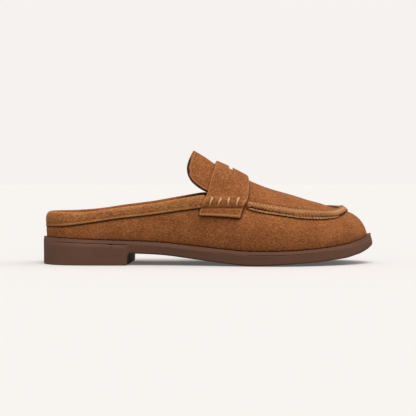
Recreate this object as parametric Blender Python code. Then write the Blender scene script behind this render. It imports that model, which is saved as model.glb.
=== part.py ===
"""A loafer mule for the right foot, standing empty on its sole.

X runs from heel to toe, Y to the wearer's left and Z up, in metres. The origin is on the floor,
under the middle of the sole's length and width. The outline of the sole is one curve, read by
an angle that starts at the back of the heel and goes round by the outer side. Every other form
follows that curve: the wall of the upper stands on it, the plug closes the wall over the toes,
and the overlays lie a fit gap off the upper's own surface.
"""
import math
from collections import namedtuple

import bmesh
import bpy
from mathutils import Vector

# Driving sizes
SOLE_LENGTH = 0.270
BALL_WIDTH = 0.0935
HEEL_WIDTH = 0.064
HEEL_HEIGHT = 0.0223
HEEL_LENGTH = 0.0698
TREAD_THICKNESS = 0.0119
TOE_SPRING = 0.0126
COLLAR_RISE = 0.0433
INSTEP_HEIGHT = 0.0818

# Sole details
EDGE_ROUND = 0.0036
BREAST_FILLET = 0.0026
BREAST_SKEW = 0.0030
TOE_SLANT = 0.0012
WELT_HEIGHT = 0.0022
WELT_WIDTH = 0.0080
RIB_PITCH = 0.0021
RIB_DEPTH = 0.0007
INSOLE_THICKNESS = 0.0050
INSOLE_EDGE = 0.0015

# Upper details
UPPER_WALL = 0.0020
LEDGE_AT_HEEL = 0.0026
LEDGE_AT_TOE = 0.0044
BAND_HEIGHT = 0.0112
BAND_THICKNESS = 0.0011
BAND_FOLD = 0.0045
ROLL_HEIGHT = 0.0031
ROLL_WIDTH = 0.0044
LIP_HEIGHT = 0.0022
LIP_THICKNESS = 0.0008
TONGUE_THICKNESS = 0.0030
STRAP_THICKNESS = 0.0027
STRAP_PAD = 0.0018
SLOT_LENGTH = 0.0230
SLOT_WIDTH = 0.0031

# Clearance between neighbouring pieces
FIT_GAP = 0.00035

# The welt is ribbed between these shares of the sole's length, and plain round heel and toe
RIBS_START = 0.055
RIBS_END = 0.925

# How finely the forms are divided
SIDE_STATIONS = 33
PLUG_COLUMNS = 10
PLAIN_STEP = 8
END_STEP = 0.004

# Share of the sole's length over which the binding turns to the strap's edge
BAND_DRAW = 0.08

# The sole by sections along its length. middle is a share of the ball width, of_heel and of_ball
# add up to the half width, heel_rise is a share of the heel's height over the tread, toe_rise of
# the toe spring, and thick of the tread's thickness.
SoleSection = namedtuple("SoleSection", "along middle of_heel of_ball heel_rise toe_rise thick")
SOLE = [
    SoleSection(0.000, 0.000, 0.000, 0.000, 1.00, 0.00, 1.00),
    SoleSection(0.050, 0.000, 0.398, 0.000, 0.96, 0.00, 1.00),
    SoleSection(0.100, 0.000, 0.477, 0.000, 0.90, 0.00, 0.98),
    SoleSection(0.160, 0.000, 0.500, 0.000, 0.84, 0.00, 0.95),
    SoleSection(0.250, -0.005, 0.400, 0.063, 0.76, 0.00, 0.87),
    SoleSection(0.350, -0.021, 0.250, 0.155, 0.66, 0.00, 0.87),
    SoleSection(0.450, -0.043, 0.120, 0.255, 0.40, 0.00, 0.91),
    SoleSection(0.550, -0.048, 0.030, 0.370, 0.13, 0.00, 0.97),
    SoleSection(0.620, -0.029, 0.000, 0.447, 0.00, 0.00, 1.00),
    SoleSection(0.680, -0.008, 0.000, 0.484, 0.00, 0.00, 1.00),
    SoleSection(0.730, 0.008, 0.000, 0.500, 0.00, 0.02, 1.00),
    SoleSection(0.800, 0.027, 0.000, 0.481, 0.00, 0.10, 1.00),
    SoleSection(0.870, 0.045, 0.000, 0.420, 0.00, 0.25, 0.96),
    SoleSection(0.920, 0.053, 0.000, 0.342, 0.00, 0.42, 0.93),
    SoleSection(0.960, 0.056, 0.000, 0.249, 0.00, 0.66, 0.91),
    SoleSection(0.985, 0.056, 0.000, 0.150, 0.00, 0.90, 0.91),
    SoleSection(1.000, 0.056, 0.000, 0.000, 0.00, 1.08, 0.91),
]

# The wall of the upper. inner_rise and outer_rise are shares of the collar's rise over the foot on
# the two sides, narrow the half width of its top edge as a share of the sole's, lean how far that
# edge stands forward as a share of the sole's length, bulge how far the wall swells, as a share of
# the ball width, and band the share of the binding's full height.
WallSection = namedtuple("WallSection", "along inner_rise outer_rise narrow lean bulge band")
WALL = [
    WallSection(0.000, 0.458, 0.458, 0.860, 0.0235, 0.014, 1.00),
    WallSection(0.050, 0.468, 0.456, 0.860, 0.0175, 0.014, 0.94),
    WallSection(0.100, 0.490, 0.464, 0.850, 0.0120, 0.014, 0.80),
    WallSection(0.160, 0.532, 0.503, 0.840, 0.0078, 0.015, 0.69),
    WallSection(0.225, 0.604, 0.574, 0.850, 0.0050, 0.018, 0.67),
    WallSection(0.340, 0.722, 0.690, 0.880, 0.0020, 0.024, 0.70),
    WallSection(0.430, 0.872, 0.836, 0.885, 0.0000, 0.031, 0.76),
    WallSection(0.495, 0.972, 0.932, 0.868, 0.0000, 0.037, 0.83),
    WallSection(0.550, 0.950, 0.925, 0.835, -0.0005, 0.043, 0.83),
    WallSection(0.615, 0.850, 0.878, 0.790, -0.0020, 0.050, 0.83),
    WallSection(0.660, 0.775, 0.846, 0.760, -0.0045, 0.054, 0.83),
    WallSection(0.740, 0.700, 0.780, 0.725, -0.0105, 0.058, 0.83),
    WallSection(0.800, 0.680, 0.712, 0.700, -0.0190, 0.058, 0.83),
    WallSection(0.870, 0.675, 0.636, 0.690, -0.0340, 0.057, 0.83),
    WallSection(0.930, 0.664, 0.602, 0.695, -0.0580, 0.055, 0.83),
    WallSection(1.000, 0.630, 0.630, 0.700, -0.0925, 0.051, 0.83),
]

# The ridge line over the instep, from the tongue's top to the toe. height is a share of the
# instep height, and full says how squarely the arch stands on its sides.
RidgeSection = namedtuple("RidgeSection", "along height full")
RIDGE = [
    RidgeSection(0.4585, 1.136, 0.35),
    RidgeSection(0.4900, 1.073, 0.35),
    RidgeSection(0.5200, 1.003, 0.35),
    RidgeSection(0.5740, 0.918, 0.38),
    RidgeSection(0.6270, 0.828, 0.42),
    RidgeSection(0.6640, 0.776, 0.45),
    RidgeSection(0.7000, 0.735, 0.48),
    RidgeSection(0.7500, 0.690, 0.50),
    RidgeSection(0.7970, 0.642, 0.54),
    RidgeSection(0.8456, 0.594, 0.58),
    RidgeSection(0.8850, 0.562, 0.60),
    RidgeSection(0.9110, 0.545, 0.60),
]

# The strap by girth: 0 at the ridge, 1 on the wall's top edge, 2 at the sole. rear and front are
# its edges along the sole, and pad how much of the pad's height stands on it.
StrapSection = namedtuple("StrapSection", "along rear front pad")
STRAP = [
    StrapSection(0.000, 0.5210, 0.6200, 0.00),
    StrapSection(0.200, 0.5205, 0.6205, 0.00),
    StrapSection(0.500, 0.5175, 0.6220, 0.00),
    StrapSection(0.750, 0.5090, 0.6225, 0.00),
    StrapSection(0.900, 0.5025, 0.6205, 0.00),
    StrapSection(1.000, 0.4960, 0.6165, 0.05),
    StrapSection(1.050, 0.4920, 0.6140, 0.45),
    StrapSection(1.090, 0.4890, 0.6120, 0.92),
    StrapSection(1.130, 0.4865, 0.6100, 1.00),
    StrapSection(1.170, 0.4840, 0.6075, 0.85),
    StrapSection(1.205, 0.4820, 0.6055, 0.30),
    StrapSection(1.225, 0.4810, 0.6045, -0.55),
    StrapSection(1.245, 0.4800, 0.6035, -0.25),
    StrapSection(1.290, 0.4780, 0.6010, -0.20),
    StrapSection(1.340, 0.4765, 0.5985, -0.22),
    StrapSection(1.365, 0.4765, 0.5980, 0.10),
    StrapSection(1.385, 0.4775, 0.5965, -0.10),
]

# The tongue's rows, from its tucked end to its top edge. tilt leans the row's arch back, in
# degrees, spread is how far down the arch it reaches, and sink how deep it lies under the plug.
TongueRow = namedtuple("TongueRow", "along tilt spread sink")
TONGUE = [
    TongueRow(0.6000, 0.0, 0.80, 1.00),
    TongueRow(0.5750, 0.0, 0.85, 1.00),
    TongueRow(0.5530, 0.0, 0.90, 1.00),
    TongueRow(0.5400, 0.0, 0.925, 0.62),
    TongueRow(0.5290, 0.0, 0.945, 0.10),
    TongueRow(0.5190, 0.0, 0.955, 0.00),
    TongueRow(0.5090, 7.0, 0.965, 0.00),
    TongueRow(0.4980, 14.0, 0.965, 0.00),
    TongueRow(0.4870, 20.0, 0.955, 0.00),
    TongueRow(0.4770, 24.5, 0.930, 0.00),
    TongueRow(0.4690, 26.5, 0.880, 0.00),
    TongueRow(0.4635, 27.5, 0.800, 0.00),
    TongueRow(0.4600, 28.0, 0.660, 0.00),
    TongueRow(0.4585, 28.0, 0.420, 0.00),
]
THROAT = 0.5555
FREE_TONGUE = 0.5190

WALL_ROWS = [0.0, 0.09, 0.22, 0.37, 0.52, 0.67, 0.80, 0.91, 1.0]
PI = math.pi


def knot_slope(knots, values, index):
    """Slope of a monotone cubic at one knot."""
    if index == 0 or index == len(knots) - 1:
        first = min(index, len(knots) - 2)
        return (values[first + 1] - values[first]) / (knots[first + 1] - knots[first])
    before = (values[index] - values[index - 1]) / (knots[index] - knots[index - 1])
    after = (values[index + 1] - values[index]) / (knots[index + 1] - knots[index])
    if before * after <= 0:
        return 0.0
    return 2 * before * after / (before + after)


def read_curve(knots, values, place):
    """Monotone cubic through the knots, held level past its ends."""
    if place <= knots[0]:
        return values[0]
    if place >= knots[-1]:
        return values[-1]
    index = max(i for i, knot in enumerate(knots[:-1]) if knot <= place)
    width = knots[index + 1] - knots[index]
    t = (place - knots[index]) / width
    low = knot_slope(knots, values, index) * width
    high = knot_slope(knots, values, index + 1) * width
    return (
        values[index] * (1 + 2 * t) * (1 - t) ** 2
        + low * t * (1 - t) ** 2
        + values[index + 1] * t * t * (3 - 2 * t)
        - high * t * t * (1 - t)
    )


def look(table, column, along):
    """Value of a table's column at a share of the length."""
    knots = [row.along for row in table]
    values = [getattr(row, column) for row in table]
    return read_curve(knots, values, along)


def look_round(table, column, angle):
    """Value of a column that closes in a round end, read by the angle round the outline."""
    knots = [math.acos(1 - 2 * row.along) for row in table]
    values = [getattr(row, column) for row in table]
    return read_curve(knots, values, min(angle, 2 * PI - angle))


def along_of(angle):
    """Share of the sole's length at an angle round the outline."""
    return (1 - math.cos(angle)) / 2


def angle_of(along, side):
    """Angle round the outline, side -1 for the outer half and 1 for the inner half."""
    angle = math.acos(1 - 2 * min(max(along, 0.0), 1.0))
    return angle if side < 0 else 2 * PI - angle


def half_width(angle):
    """Half width of the sole at an angle."""
    return look_round(SOLE, "of_heel", angle) * HEEL_WIDTH + look_round(SOLE, "of_ball", angle) * BALL_WIDTH


def loose_outline(angle):
    """Outline point before the sole is centred."""
    along = along_of(angle)
    side = -1 if angle <= PI else 1
    y = look(SOLE, "middle", along) * BALL_WIDTH + side * half_width(angle)
    return Vector((SOLE_LENGTH * (along - 0.5), y, 0.0))


def centre_line():
    """Y of the middle between the outline's widest points."""
    steps = 720
    widths = [loose_outline(2 * PI * step / steps).y for step in range(steps)]
    return (max(widths) + min(widths)) / 2


CENTRE = centre_line()


def outline(angle, inset=0.0):
    """Point of the sole's outline, moved inward by an inset."""
    angle = angle % (2 * PI)
    step = 0.004
    point = loose_outline(angle)
    point.y -= CENTRE
    if inset:
        ahead = loose_outline((angle + step) % (2 * PI))
        behind = loose_outline((angle - step) % (2 * PI))
        run = (ahead - behind).normalized()
        point += Vector((-run.y, run.x, 0.0)) * inset
    return point


def share_along(point):
    """Where a point lies along the sole."""
    return point.x / SOLE_LENGTH + 0.5


def foot_plane(along):
    """Height of the plane that the foot stands on."""
    heel = (HEEL_HEIGHT - TREAD_THICKNESS) * look(SOLE, "heel_rise", along)
    return TREAD_THICKNESS + heel + TOE_SPRING * look(SOLE, "toe_rise", along)


def sole_top(along):
    """Top of the outsole, under the welt."""
    return foot_plane(along) - WELT_HEIGHT - FIT_GAP


def breast_at(side):
    """Where the heel's front face meets the sole's edge, a little further forward inside."""
    return (HEEL_LENGTH + (BREAST_SKEW if side > 0 else 0.0)) / SOLE_LENGTH


def sole_bottom(along, side):
    """Underside: the floor under the heel, then the breast, the arch, the tread and the spring."""
    breast = breast_at(side)
    if along <= breast:
        return 0.0
    low = max(foot_plane(along) - TREAD_THICKNESS * look(SOLE, "thick", along), 0.0)
    reach = (along - breast) * SOLE_LENGTH / BREAST_FILLET
    if reach < 1:
        low *= 1 - (1 - reach) ** 4
    return low


def station_angles(count, outer_extra=(), inner_extra=()):
    """Angles round the outline, closer at heel and toe, with extra stations on each side."""
    outer_added = [math.acos(1 - 2 * along) for along in outer_extra]
    inner_added = [math.acos(1 - 2 * along) for along in inner_extra or outer_extra]
    side = [PI * step / count for step in range(count + 1)]
    added = outer_added + inner_added
    kept = [angle for angle in side if all(abs(angle - other) > 0.02 for other in added)]
    outer = sorted(kept + outer_added)
    inner = sorted(kept + inner_added)
    return outer + [2 * PI - angle for angle in reversed(inner[1:-1])]


def new_object(name, bm, finish):
    """Makes an object of a mesh, with its faces turned outward."""
    bmesh.ops.recalc_face_normals(bm, faces=bm.faces)
    mesh = bpy.data.meshes.new(name)
    bm.to_mesh(mesh)
    bm.free()
    mesh.shade_smooth()
    mesh.set_sharp_from_angle(angle=math.radians(40))
    mesh.materials.append(finish)
    item = bpy.data.objects.new(name, mesh)
    bpy.context.scene.collection.objects.link(item)
    return item


def make_finish(name, colour, roughness, metallic=0.0):
    """A material with a colour, a roughness and a metallic value."""
    finish = bpy.data.materials.new(name)
    finish.use_nodes = True
    shader = finish.node_tree.nodes["Principled BSDF"]
    shader.inputs["Base Color"].default_value = (*colour, 1.0)
    shader.inputs["Roughness"].default_value = roughness
    shader.inputs["Metallic"].default_value = metallic
    return finish


def join_rows(bm, first, second, closed):
    """Faces between two rows of vertices."""
    count = len(first) if closed else len(first) - 1
    for i in range(count):
        j = (i + 1) % len(first)
        bm.faces.new((first[i], first[j], second[j], second[i]))


def ladder_cap(bm, ring):
    """Closes a ring with rungs from the outer half to the inner half."""
    last = len(ring)
    for i in range(last // 2):
        corners = [ring[i], ring[i + 1], ring[(last - i - 1) % last], ring[(last - i) % last]]
        bm.faces.new(list(dict.fromkeys(corners)))


def plate(name, rings, finish):
    """A solid of stacked rings, closed above and below."""
    bm = bmesh.new()
    rows = [[bm.verts.new(point) for point in ring] for ring in rings]
    for first, second in zip(rows, rows[1:]):
        join_rows(bm, first, second, closed=True)
    ladder_cap(bm, rows[0])
    ladder_cap(bm, rows[-1])
    return new_object(name, bm, finish)


def tube(name, loops, finish, closed):
    """A solid of closed loops along a path, which closes on itself or has flat ends."""
    bm = bmesh.new()
    rows = [[bm.verts.new(point) for point in loop] for loop in loops]
    for first, second in zip(rows, rows[1:]):
        join_rows(bm, first, second, closed=True)
    if closed:
        join_rows(bm, rows[-1], rows[0], closed=True)
    else:
        bm.faces.new(rows[0])
        bm.faces.new(rows[-1])
        bmesh.ops.triangulate(bm, faces=[face for face in bm.faces if len(face.verts) > 4])
    return new_object(name, bm, finish)


def on_plane(angle, inset, height):
    """A point over the outline, at a height that is a function of the place along the sole."""
    point = outline(angle, inset)
    point.z = height(share_along(point))
    return point


def slant(along):
    """How far the sole's side leans in at its top, which grows over the toe."""
    return TOE_SLANT * look(SOLE, "toe_rise", along)


def make_outsole(finish):
    """The unit sole, with heel, breast, arch, tread and toe spring."""
    fillet = BREAST_FILLET / SOLE_LENGTH
    steps = [fillet * share for share in (0.0, 0.2, 0.5, 1.0)]
    outer_extra = [breast_at(-1) + step for step in steps]
    inner_extra = [breast_at(1) + step for step in steps]
    angles = station_angles(SIDE_STATIONS, outer_extra, inner_extra)

    def side_ring(inward, upward):
        """A ring on the rounded lower edge, which is crisper on the heel."""
        ring = []
        for angle in angles:
            along = along_of(angle)
            side = -1 if angle <= PI else 1
            size = EDGE_ROUND * (0.4 if along < breast_at(side) + fillet else 1.0)
            point = outline(angle, size * inward)
            point.z = sole_bottom(along, side) + size * upward
            ring.append(point)
        return ring

    rings = [side_ring(1.0, 0.0), side_ring(0.35, 0.12), side_ring(0.06, 0.42), side_ring(0.0, 0.85)]
    rings.append([on_plane(angle, slant(along_of(angle)), sole_top) for angle in angles])
    return plate("outsole", rings, finish)


def rib_stations():
    """Angles of the welt's stations, each with its notch depth as a share."""
    steps = 2880
    fine = [outline(2 * PI * step / steps) for step in range(steps + 1)]
    length = 0.0
    lengths = [0.0]
    for before, after in zip(fine, fine[1:]):
        length += (after - before).length
        lengths.append(length)
    stations = []
    teeth = 2 * round(length / RIB_PITCH)
    index = 0
    for tooth in range(teeth):
        while lengths[index + 1] < length * tooth / teeth:
            index += 1
        angle = 2 * PI * index / steps
        if RIBS_START < along_of(angle) < RIBS_END:
            stations.append((angle, tooth % 2))
        elif tooth % PLAIN_STEP == 0:
            stations.append((angle, 0))
    return stations


def make_welt(finish):
    """The rim strip round the top of the sole, with notches along its outer edge."""
    loops = []
    for angle, notch in rib_stations():
        lean = slant(along_of(angle))
        low = on_plane(angle, lean, lambda along: foot_plane(along) - WELT_HEIGHT)
        edge = on_plane(angle, lean + RIB_DEPTH * notch, foot_plane)
        edge.z -= RIB_DEPTH * notch
        inner_top = on_plane(angle, WELT_WIDTH, foot_plane)
        inner_low = on_plane(angle, WELT_WIDTH, lambda along: foot_plane(along) - WELT_HEIGHT)
        loops.append([low, edge, inner_top, inner_low])
    return tube("welt", loops, finish, closed=True)


def ledge(along):
    """How far the upper stands in from the sole's edge."""
    return LEDGE_AT_HEEL + (LEDGE_AT_TOE - LEDGE_AT_HEEL) * look(SOLE, "toe_rise", along)


def make_insole(finish):
    """The footbed, set down inside the welt and under the wall."""
    angles = station_angles(SIDE_STATIONS, [THROAT])
    inside = UPPER_WALL + FIT_GAP

    def ring(inset, base, lift, follow):
        points = []
        for angle in angles:
            extra = ledge(along_of(angle)) * follow
            point = on_plane(angle, inset + extra, base)
            point.z += lift
            points.append(point)
        return points

    rings = [
        ring(WELT_WIDTH + FIT_GAP, sole_top, FIT_GAP, 0),
        ring(WELT_WIDTH + FIT_GAP, foot_plane, FIT_GAP, 0),
        ring(inside + FIT_GAP, foot_plane, FIT_GAP, 1),
        ring(inside + FIT_GAP, foot_plane, INSOLE_THICKNESS - WELT_HEIGHT - INSOLE_EDGE / 2, 1),
        ring(inside + FIT_GAP + INSOLE_EDGE, foot_plane, INSOLE_THICKNESS - WELT_HEIGHT, 1),
    ]
    return plate("insole", rings, finish)


def wall_foot(angle):
    """Lower edge of the upper's outer surface, just over the welt."""
    point = on_plane(angle, ledge(along_of(angle)), foot_plane)
    point.z += FIT_GAP
    return point


def wall_top(angle):
    """Top edge of the wall: the topline, then the moccasin seam."""
    along = along_of(angle)
    side = -1 if angle <= PI else 1
    x = SOLE_LENGTH * (along - 0.5 + look(WALL, "lean", along))
    middle = look(SOLE, "middle", x / SOLE_LENGTH + 0.5) * BALL_WIDTH
    y = middle - CENTRE + side * half_width(angle) * look(WALL, "narrow", along)
    rise = COLLAR_RISE * look(WALL, "outer_rise" if side < 0 else "inner_rise", along)
    return Vector((x, y, foot_plane(x / SOLE_LENGTH + 0.5) + rise))


def wall_point(angle, up):
    """Outer surface of the wall, from its foot at 0 to its top edge at 1."""
    angle = angle % (2 * PI)
    foot = wall_foot(angle)
    chord = wall_top(angle) - foot
    step = 0.01
    run = outline(angle + step) - outline(angle - step)
    out = run.cross(chord).normalized()
    swell = BALL_WIDTH * look(WALL, "bulge", along_of(angle)) * 4 * up * (1 - up)
    return foot + chord * up + out * swell


def ridge_height(along):
    """Height of the ridge line over the instep."""
    return INSTEP_HEIGHT * look(RIDGE, "height", along)


def arch_shape(along, across):
    """Share of the arch's rise that is left at a place across it, 1 at the ridge."""
    full = look(RIDGE, "full", along)
    return (1 - full) * (1 - across ** 2) + full * (1 - across ** 4)


def arch_point(along, across):
    """Surface over the foot, between the wall's two top edges, across from -1 to 1."""
    outer = wall_top(angle_of(along, -1))
    inner = wall_top(angle_of(along, 1))
    point = outer.lerp(inner, (across + 1) / 2)
    place = share_along(point)
    rise = ridge_height(place) - (outer.z + inner.z) / 2
    point.z += rise * arch_shape(place, across)
    return point


def skin(along, girth):
    """Outer surface by girth: 0 at the ridge, 1 at the wall's top edge, 2 at its foot."""
    side = -1 if girth < 0 else 1
    if abs(girth) <= 1:
        return arch_point(along, girth)
    return wall_point(angle_of(along, side), 2 - abs(girth))


def skin_lifted(along, girth, lift):
    """A point off the outer surface."""
    step = 0.004
    spread = 0.03
    run = skin(along + step, girth) - skin(along - step, girth)
    across = skin(along, girth + spread) - skin(along, girth - spread)
    return skin(along, girth) + run.cross(across).normalized() * lift


def thicken(bm, thickness):
    """Gives an open surface a wall inward, its lower edge kept level."""
    bm.normal_update()
    outer = list(bm.verts)
    rims = [edge for edge in bm.edges if edge.is_boundary]
    faces = list(bm.faces)
    inner = {}
    for vert in outer:
        away = vert.normal.copy()
        if vert.co.z < foot_plane(share_along(vert.co)) + 2 * FIT_GAP:
            away.z = 0.0
            away.normalize()
        inner[vert] = bm.verts.new(vert.co - away * thickness)
    for face in faces:
        bm.faces.new([inner[vert] for vert in reversed(face.verts)])
    for edge in rims:
        first, second = edge.verts
        bm.faces.new((first, second, inner[second], inner[first]))


def make_upper(finish):
    """Wall and plug in one shell, open underneath, at the collar and at the throat."""
    angles = station_angles(SIDE_STATIONS, [THROAT])
    half = len(angles) // 2
    bm = bmesh.new()
    rows = [[bm.verts.new(wall_point(angle, up)) for angle in angles] for up in WALL_ROWS]
    for first, second in zip(rows, rows[1:]):
        join_rows(bm, first, second, closed=True)
    top = rows[-1]
    plug = []
    for i in range(half):
        if along_of(angles[i]) < THROAT - 1e-6:
            continue
        row = [top[i]]
        for column in range(1, PLUG_COLUMNS):
            across = 2 * column / PLUG_COLUMNS - 1
            row.append(bm.verts.new(arch_point(along_of(angles[i]), across)))
        plug.append(row + [top[len(angles) - i]])
    for first, second in zip(plug, plug[1:]):
        join_rows(bm, first, second, closed=False)
    for one, two in zip(plug[-1], plug[-1][1:]):
        bm.faces.new((one, two, top[half]))
    bmesh.ops.recalc_face_normals(bm, faces=bm.faces)
    middle = Vector((0.0, 0.0, INSTEP_HEIGHT / 2))
    if sum(face.normal.dot(face.calc_center_median() - middle) for face in bm.faces) < 0:
        bmesh.ops.reverse_faces(bm, faces=bm.faces)
    thicken(bm, UPPER_WALL)
    return new_object("upper", bm, finish)


def band_loop(angle):
    """Section of the collar binding: outside, over the topline and a little way down inside.

    Near its end the section turns to follow the strap's slanted edge.
    """
    length = (wall_top(angle) - wall_foot(angle)).length
    lower = 1 - BAND_HEIGHT * look(WALL, "band", along_of(angle)) / length
    fold = 1 - BAND_FOLD / length
    outer = FIT_GAP + BAND_THICKNESS
    inner = UPPER_WALL + FIT_GAP
    deep = inner + BAND_THICKNESS
    # Height up the wall, lift off its outer surface, and height over the topline
    section = [
        (lower, FIT_GAP, 0.0),
        (lower, outer * 0.8, 0.0),
        (lower + (1 - lower) * 0.12, outer, 0.0),
        (lower + (1 - lower) * 0.55, outer, 0.0),
        (1.0, outer, 0.0),
        (1.0, FIT_GAP * 0.6, outer * 0.85),
        (1.0, -UPPER_WALL / 2, outer * 1.1),
        (1.0, -inner * 0.95, outer * 0.85),
        (1.0, -deep, 0.0),
        (fold, -deep, 0.0),
        (fold, -inner, 0.0),
        (1.0, -inner, FIT_GAP * 0.4),
        (1.0, -UPPER_WALL / 2, FIT_GAP),
        (1.0, FIT_GAP, FIT_GAP * 0.4),
        (lower + (1 - lower) * 0.66, FIT_GAP, 0.0),
        (lower + (1 - lower) * 0.33, FIT_GAP, 0.0),
    ]
    side = -1 if angle <= PI else 1
    end = strap_rear(1.0)
    draw = min(max(1 - (end - along_of(angle)) / BAND_DRAW, 0.0), 1.0)
    points = []
    for up, lift, over in section:
        place = along_of(angle) - (end - strap_rear(2 - up)) * draw
        points.append(wall_lifted(angle_of(place, side), up, lift, over))
    return points


def wall_lifted(angle, up, lift, over=0.0):
    """A point off the wall, and over its top edge."""
    step = 0.01
    run = wall_point(angle + step, up) - wall_point(angle - step, up)
    climb = wall_point(angle, up) - wall_point(angle, up - 0.05)
    climb.normalize()
    out = run.cross(climb).normalized()
    return wall_point(angle, up) + out * lift + climb * over


def strap_rear(girth):
    """How far along the binding may run before it meets the strap."""
    return look(STRAP, "rear", girth) - FIT_GAP / SOLE_LENGTH * 1.2


def strap_front(girth):
    """Where the apron roll may start past the strap."""
    return look(STRAP, "front", girth) + FIT_GAP / SOLE_LENGTH * 1.2


def make_collar_band(finish):
    """The binding over the topline, from one side of the strap round the heel to the other."""
    end = strap_rear(1.0)
    angles = [a for a in station_angles(SIDE_STATIONS, [THROAT]) if along_of(a) < end - END_STEP]
    inner = [a - 2 * PI for a in angles if a > PI]
    outer = [a for a in angles if a <= PI]
    path = [angle_of(end, 1) - 2 * PI] + inner + outer + [angle_of(end, -1)]
    loops = [band_loop(angle % (2 * PI)) for angle in path]
    return tube("collar_band", loops, finish, closed=False)


def plug_under(x, y):
    """Point of the plug's outer surface at a place seen from above."""
    low = 0.4
    high = 1.0
    halvings = 18
    for _ in range(halvings):
        middle = (low + high) / 2
        if wall_top(angle_of(middle, -1)).x < x:
            low = middle
        else:
            high = middle
    outer = wall_top(angle_of(low, -1))
    inner = wall_top(angle_of(low, 1))
    across = 2 * (y - outer.y) / max(inner.y - outer.y, 1e-6) - 1
    return Vector((x, y, arch_point(low, min(max(across, -1.0), 1.0)).z))


def seam_frame(angle):
    """The moccasin seam's corner, its run, and the ways off the wall and off the plug."""
    corner = wall_top(angle)
    step = 0.01
    run = wall_top((angle + step) % (2 * PI)) - wall_top((angle - step) % (2 * PI))
    run.normalize()
    inward = Vector((-run.y, run.x, 0.0)).normalized()
    reach = ROLL_WIDTH * 0.5
    landing = plug_under(corner.x + inward.x * reach, corner.y + inward.y * reach)
    climb = (corner - wall_point(angle, 0.9)).normalized()
    wall_out = run.cross(climb).normalized()
    plug_out = run.cross(landing - corner).normalized()
    return corner, inward, wall_out, plug_out


def roll_loop(angle, edge_of):
    """Section of the apron roll: a narrow lip, a groove, then a round roll onto the plug."""
    side = -1 if angle <= PI else 1
    # Distance from the seam's corner, down the wall or onto the plug, and lift off the skin
    section = [
        (-ROLL_WIDTH - LIP_HEIGHT, FIT_GAP),
        (-ROLL_WIDTH - LIP_HEIGHT, FIT_GAP + LIP_THICKNESS),
        (-ROLL_WIDTH * 1.04, FIT_GAP + LIP_THICKNESS),
        (-ROLL_WIDTH, FIT_GAP + LIP_THICKNESS * 0.5),
        (-ROLL_WIDTH * 0.90, ROLL_HEIGHT * 0.55),
        (-ROLL_WIDTH * 0.66, ROLL_HEIGHT * 0.88),
        (-ROLL_WIDTH * 0.32, ROLL_HEIGHT * 1.02),
        (0.0, ROLL_HEIGHT),
        (ROLL_WIDTH * 0.22, ROLL_HEIGHT * 0.85),
        (ROLL_WIDTH * 0.42, ROLL_HEIGHT * 0.5),
        (ROLL_WIDTH * 0.5, FIT_GAP * 2.2),
        (0.0, FIT_GAP * 2.2),
        (-ROLL_WIDTH * 0.5, FIT_GAP),
    ]
    points = []
    for distance, lift in section:
        place = max(along_of(angle), edge_of(1 - distance / COLLAR_RISE))
        turned = angle_of(place, side) if place > along_of(angle) else angle
        corner, inward, wall_out, plug_out = seam_frame(turned)
        blend = 0.5 + min(abs(distance) / ROLL_WIDTH, 0.5)
        if distance < 0:
            length = (wall_top(turned) - wall_foot(turned)).length
            base = wall_point(turned, 1 + distance / length)
            out = wall_out * blend + plug_out * (1 - blend)
        else:
            base = plug_under(corner.x + inward.x * distance, corner.y + inward.y * distance)
            out = plug_out * blend + wall_out * (1 - blend)
        points.append(base + out.normalized() * lift)
    return points


def make_apron_roll(finish):
    """The raised roll on the moccasin seam, from the strap round the toe to the strap."""
    start = strap_front(1.0)
    angles = [a for a in station_angles(SIDE_STATIONS, [THROAT]) if along_of(a) > start + END_STEP]
    path = [angle_of(start, -1)] + angles + [angle_of(start, 1)]
    loops = [roll_loop(angle, strap_front) for angle in path]
    return tube("apron_roll", loops, finish, closed=False)


def tongue_point(row, share, depth):
    """A point of the tongue, across from -1 to 1 and depth inward from its outer face."""
    across = share * row.spread
    sink = row.sink * (UPPER_WALL + FIT_GAP)
    if row.along >= FREE_TONGUE:
        return skin_lifted(row.along, across, -(sink + depth + FIT_GAP))
    lean = math.radians(row.tilt)
    down = Vector((-math.sin(lean), 0.0, -math.cos(lean)))
    base = arch_point(FREE_TONGUE, across)
    ridge = arch_point(FREE_TONGUE, 0.0)
    crown = arch_point(row.along, 0.0)
    crown.z = ridge_height(row.along)
    drop = ridge.z - base.z
    place = Vector((crown.x, base.y, crown.z)) + down * drop
    step = 0.05
    side_on = arch_point(FREE_TONGUE, across + step) - arch_point(FREE_TONGUE, across - step)
    rim = Vector((0.0, side_on.y, 0.0)) - down * side_on.z
    climb = Vector((-math.cos(lean), 0.0, math.sin(lean)))
    out = rim.cross(climb).normalized()
    if out.z < 0:
        out = -out
    return place - out * (depth + FIT_GAP)


def make_tongue(finish):
    """The padded flap from under the plug's throat edge up over the instep."""
    columns = [-1.0, -0.97, -0.86, -0.68, -0.46, -0.23, 0.0, 0.23, 0.46, 0.68, 0.86, 0.97, 1.0]
    loops = []
    for row in TONGUE:
        slim = 0.45 if row in (TONGUE[0], TONGUE[-1]) else 1.0
        margin = TONGUE_THICKNESS * (1 - slim) / 2
        outer = []
        inner = []
        for share in columns:
            edge = TONGUE_THICKNESS * 0.30 if abs(share) == 1.0 else 0.0
            outer.append(tongue_point(row, share, margin + edge * slim))
            inner.append(tongue_point(row, share, TONGUE_THICKNESS - margin - edge * slim))
        loops.append(outer + inner[::-1])
    return tube("tongue", loops, finish, closed=False)


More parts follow.
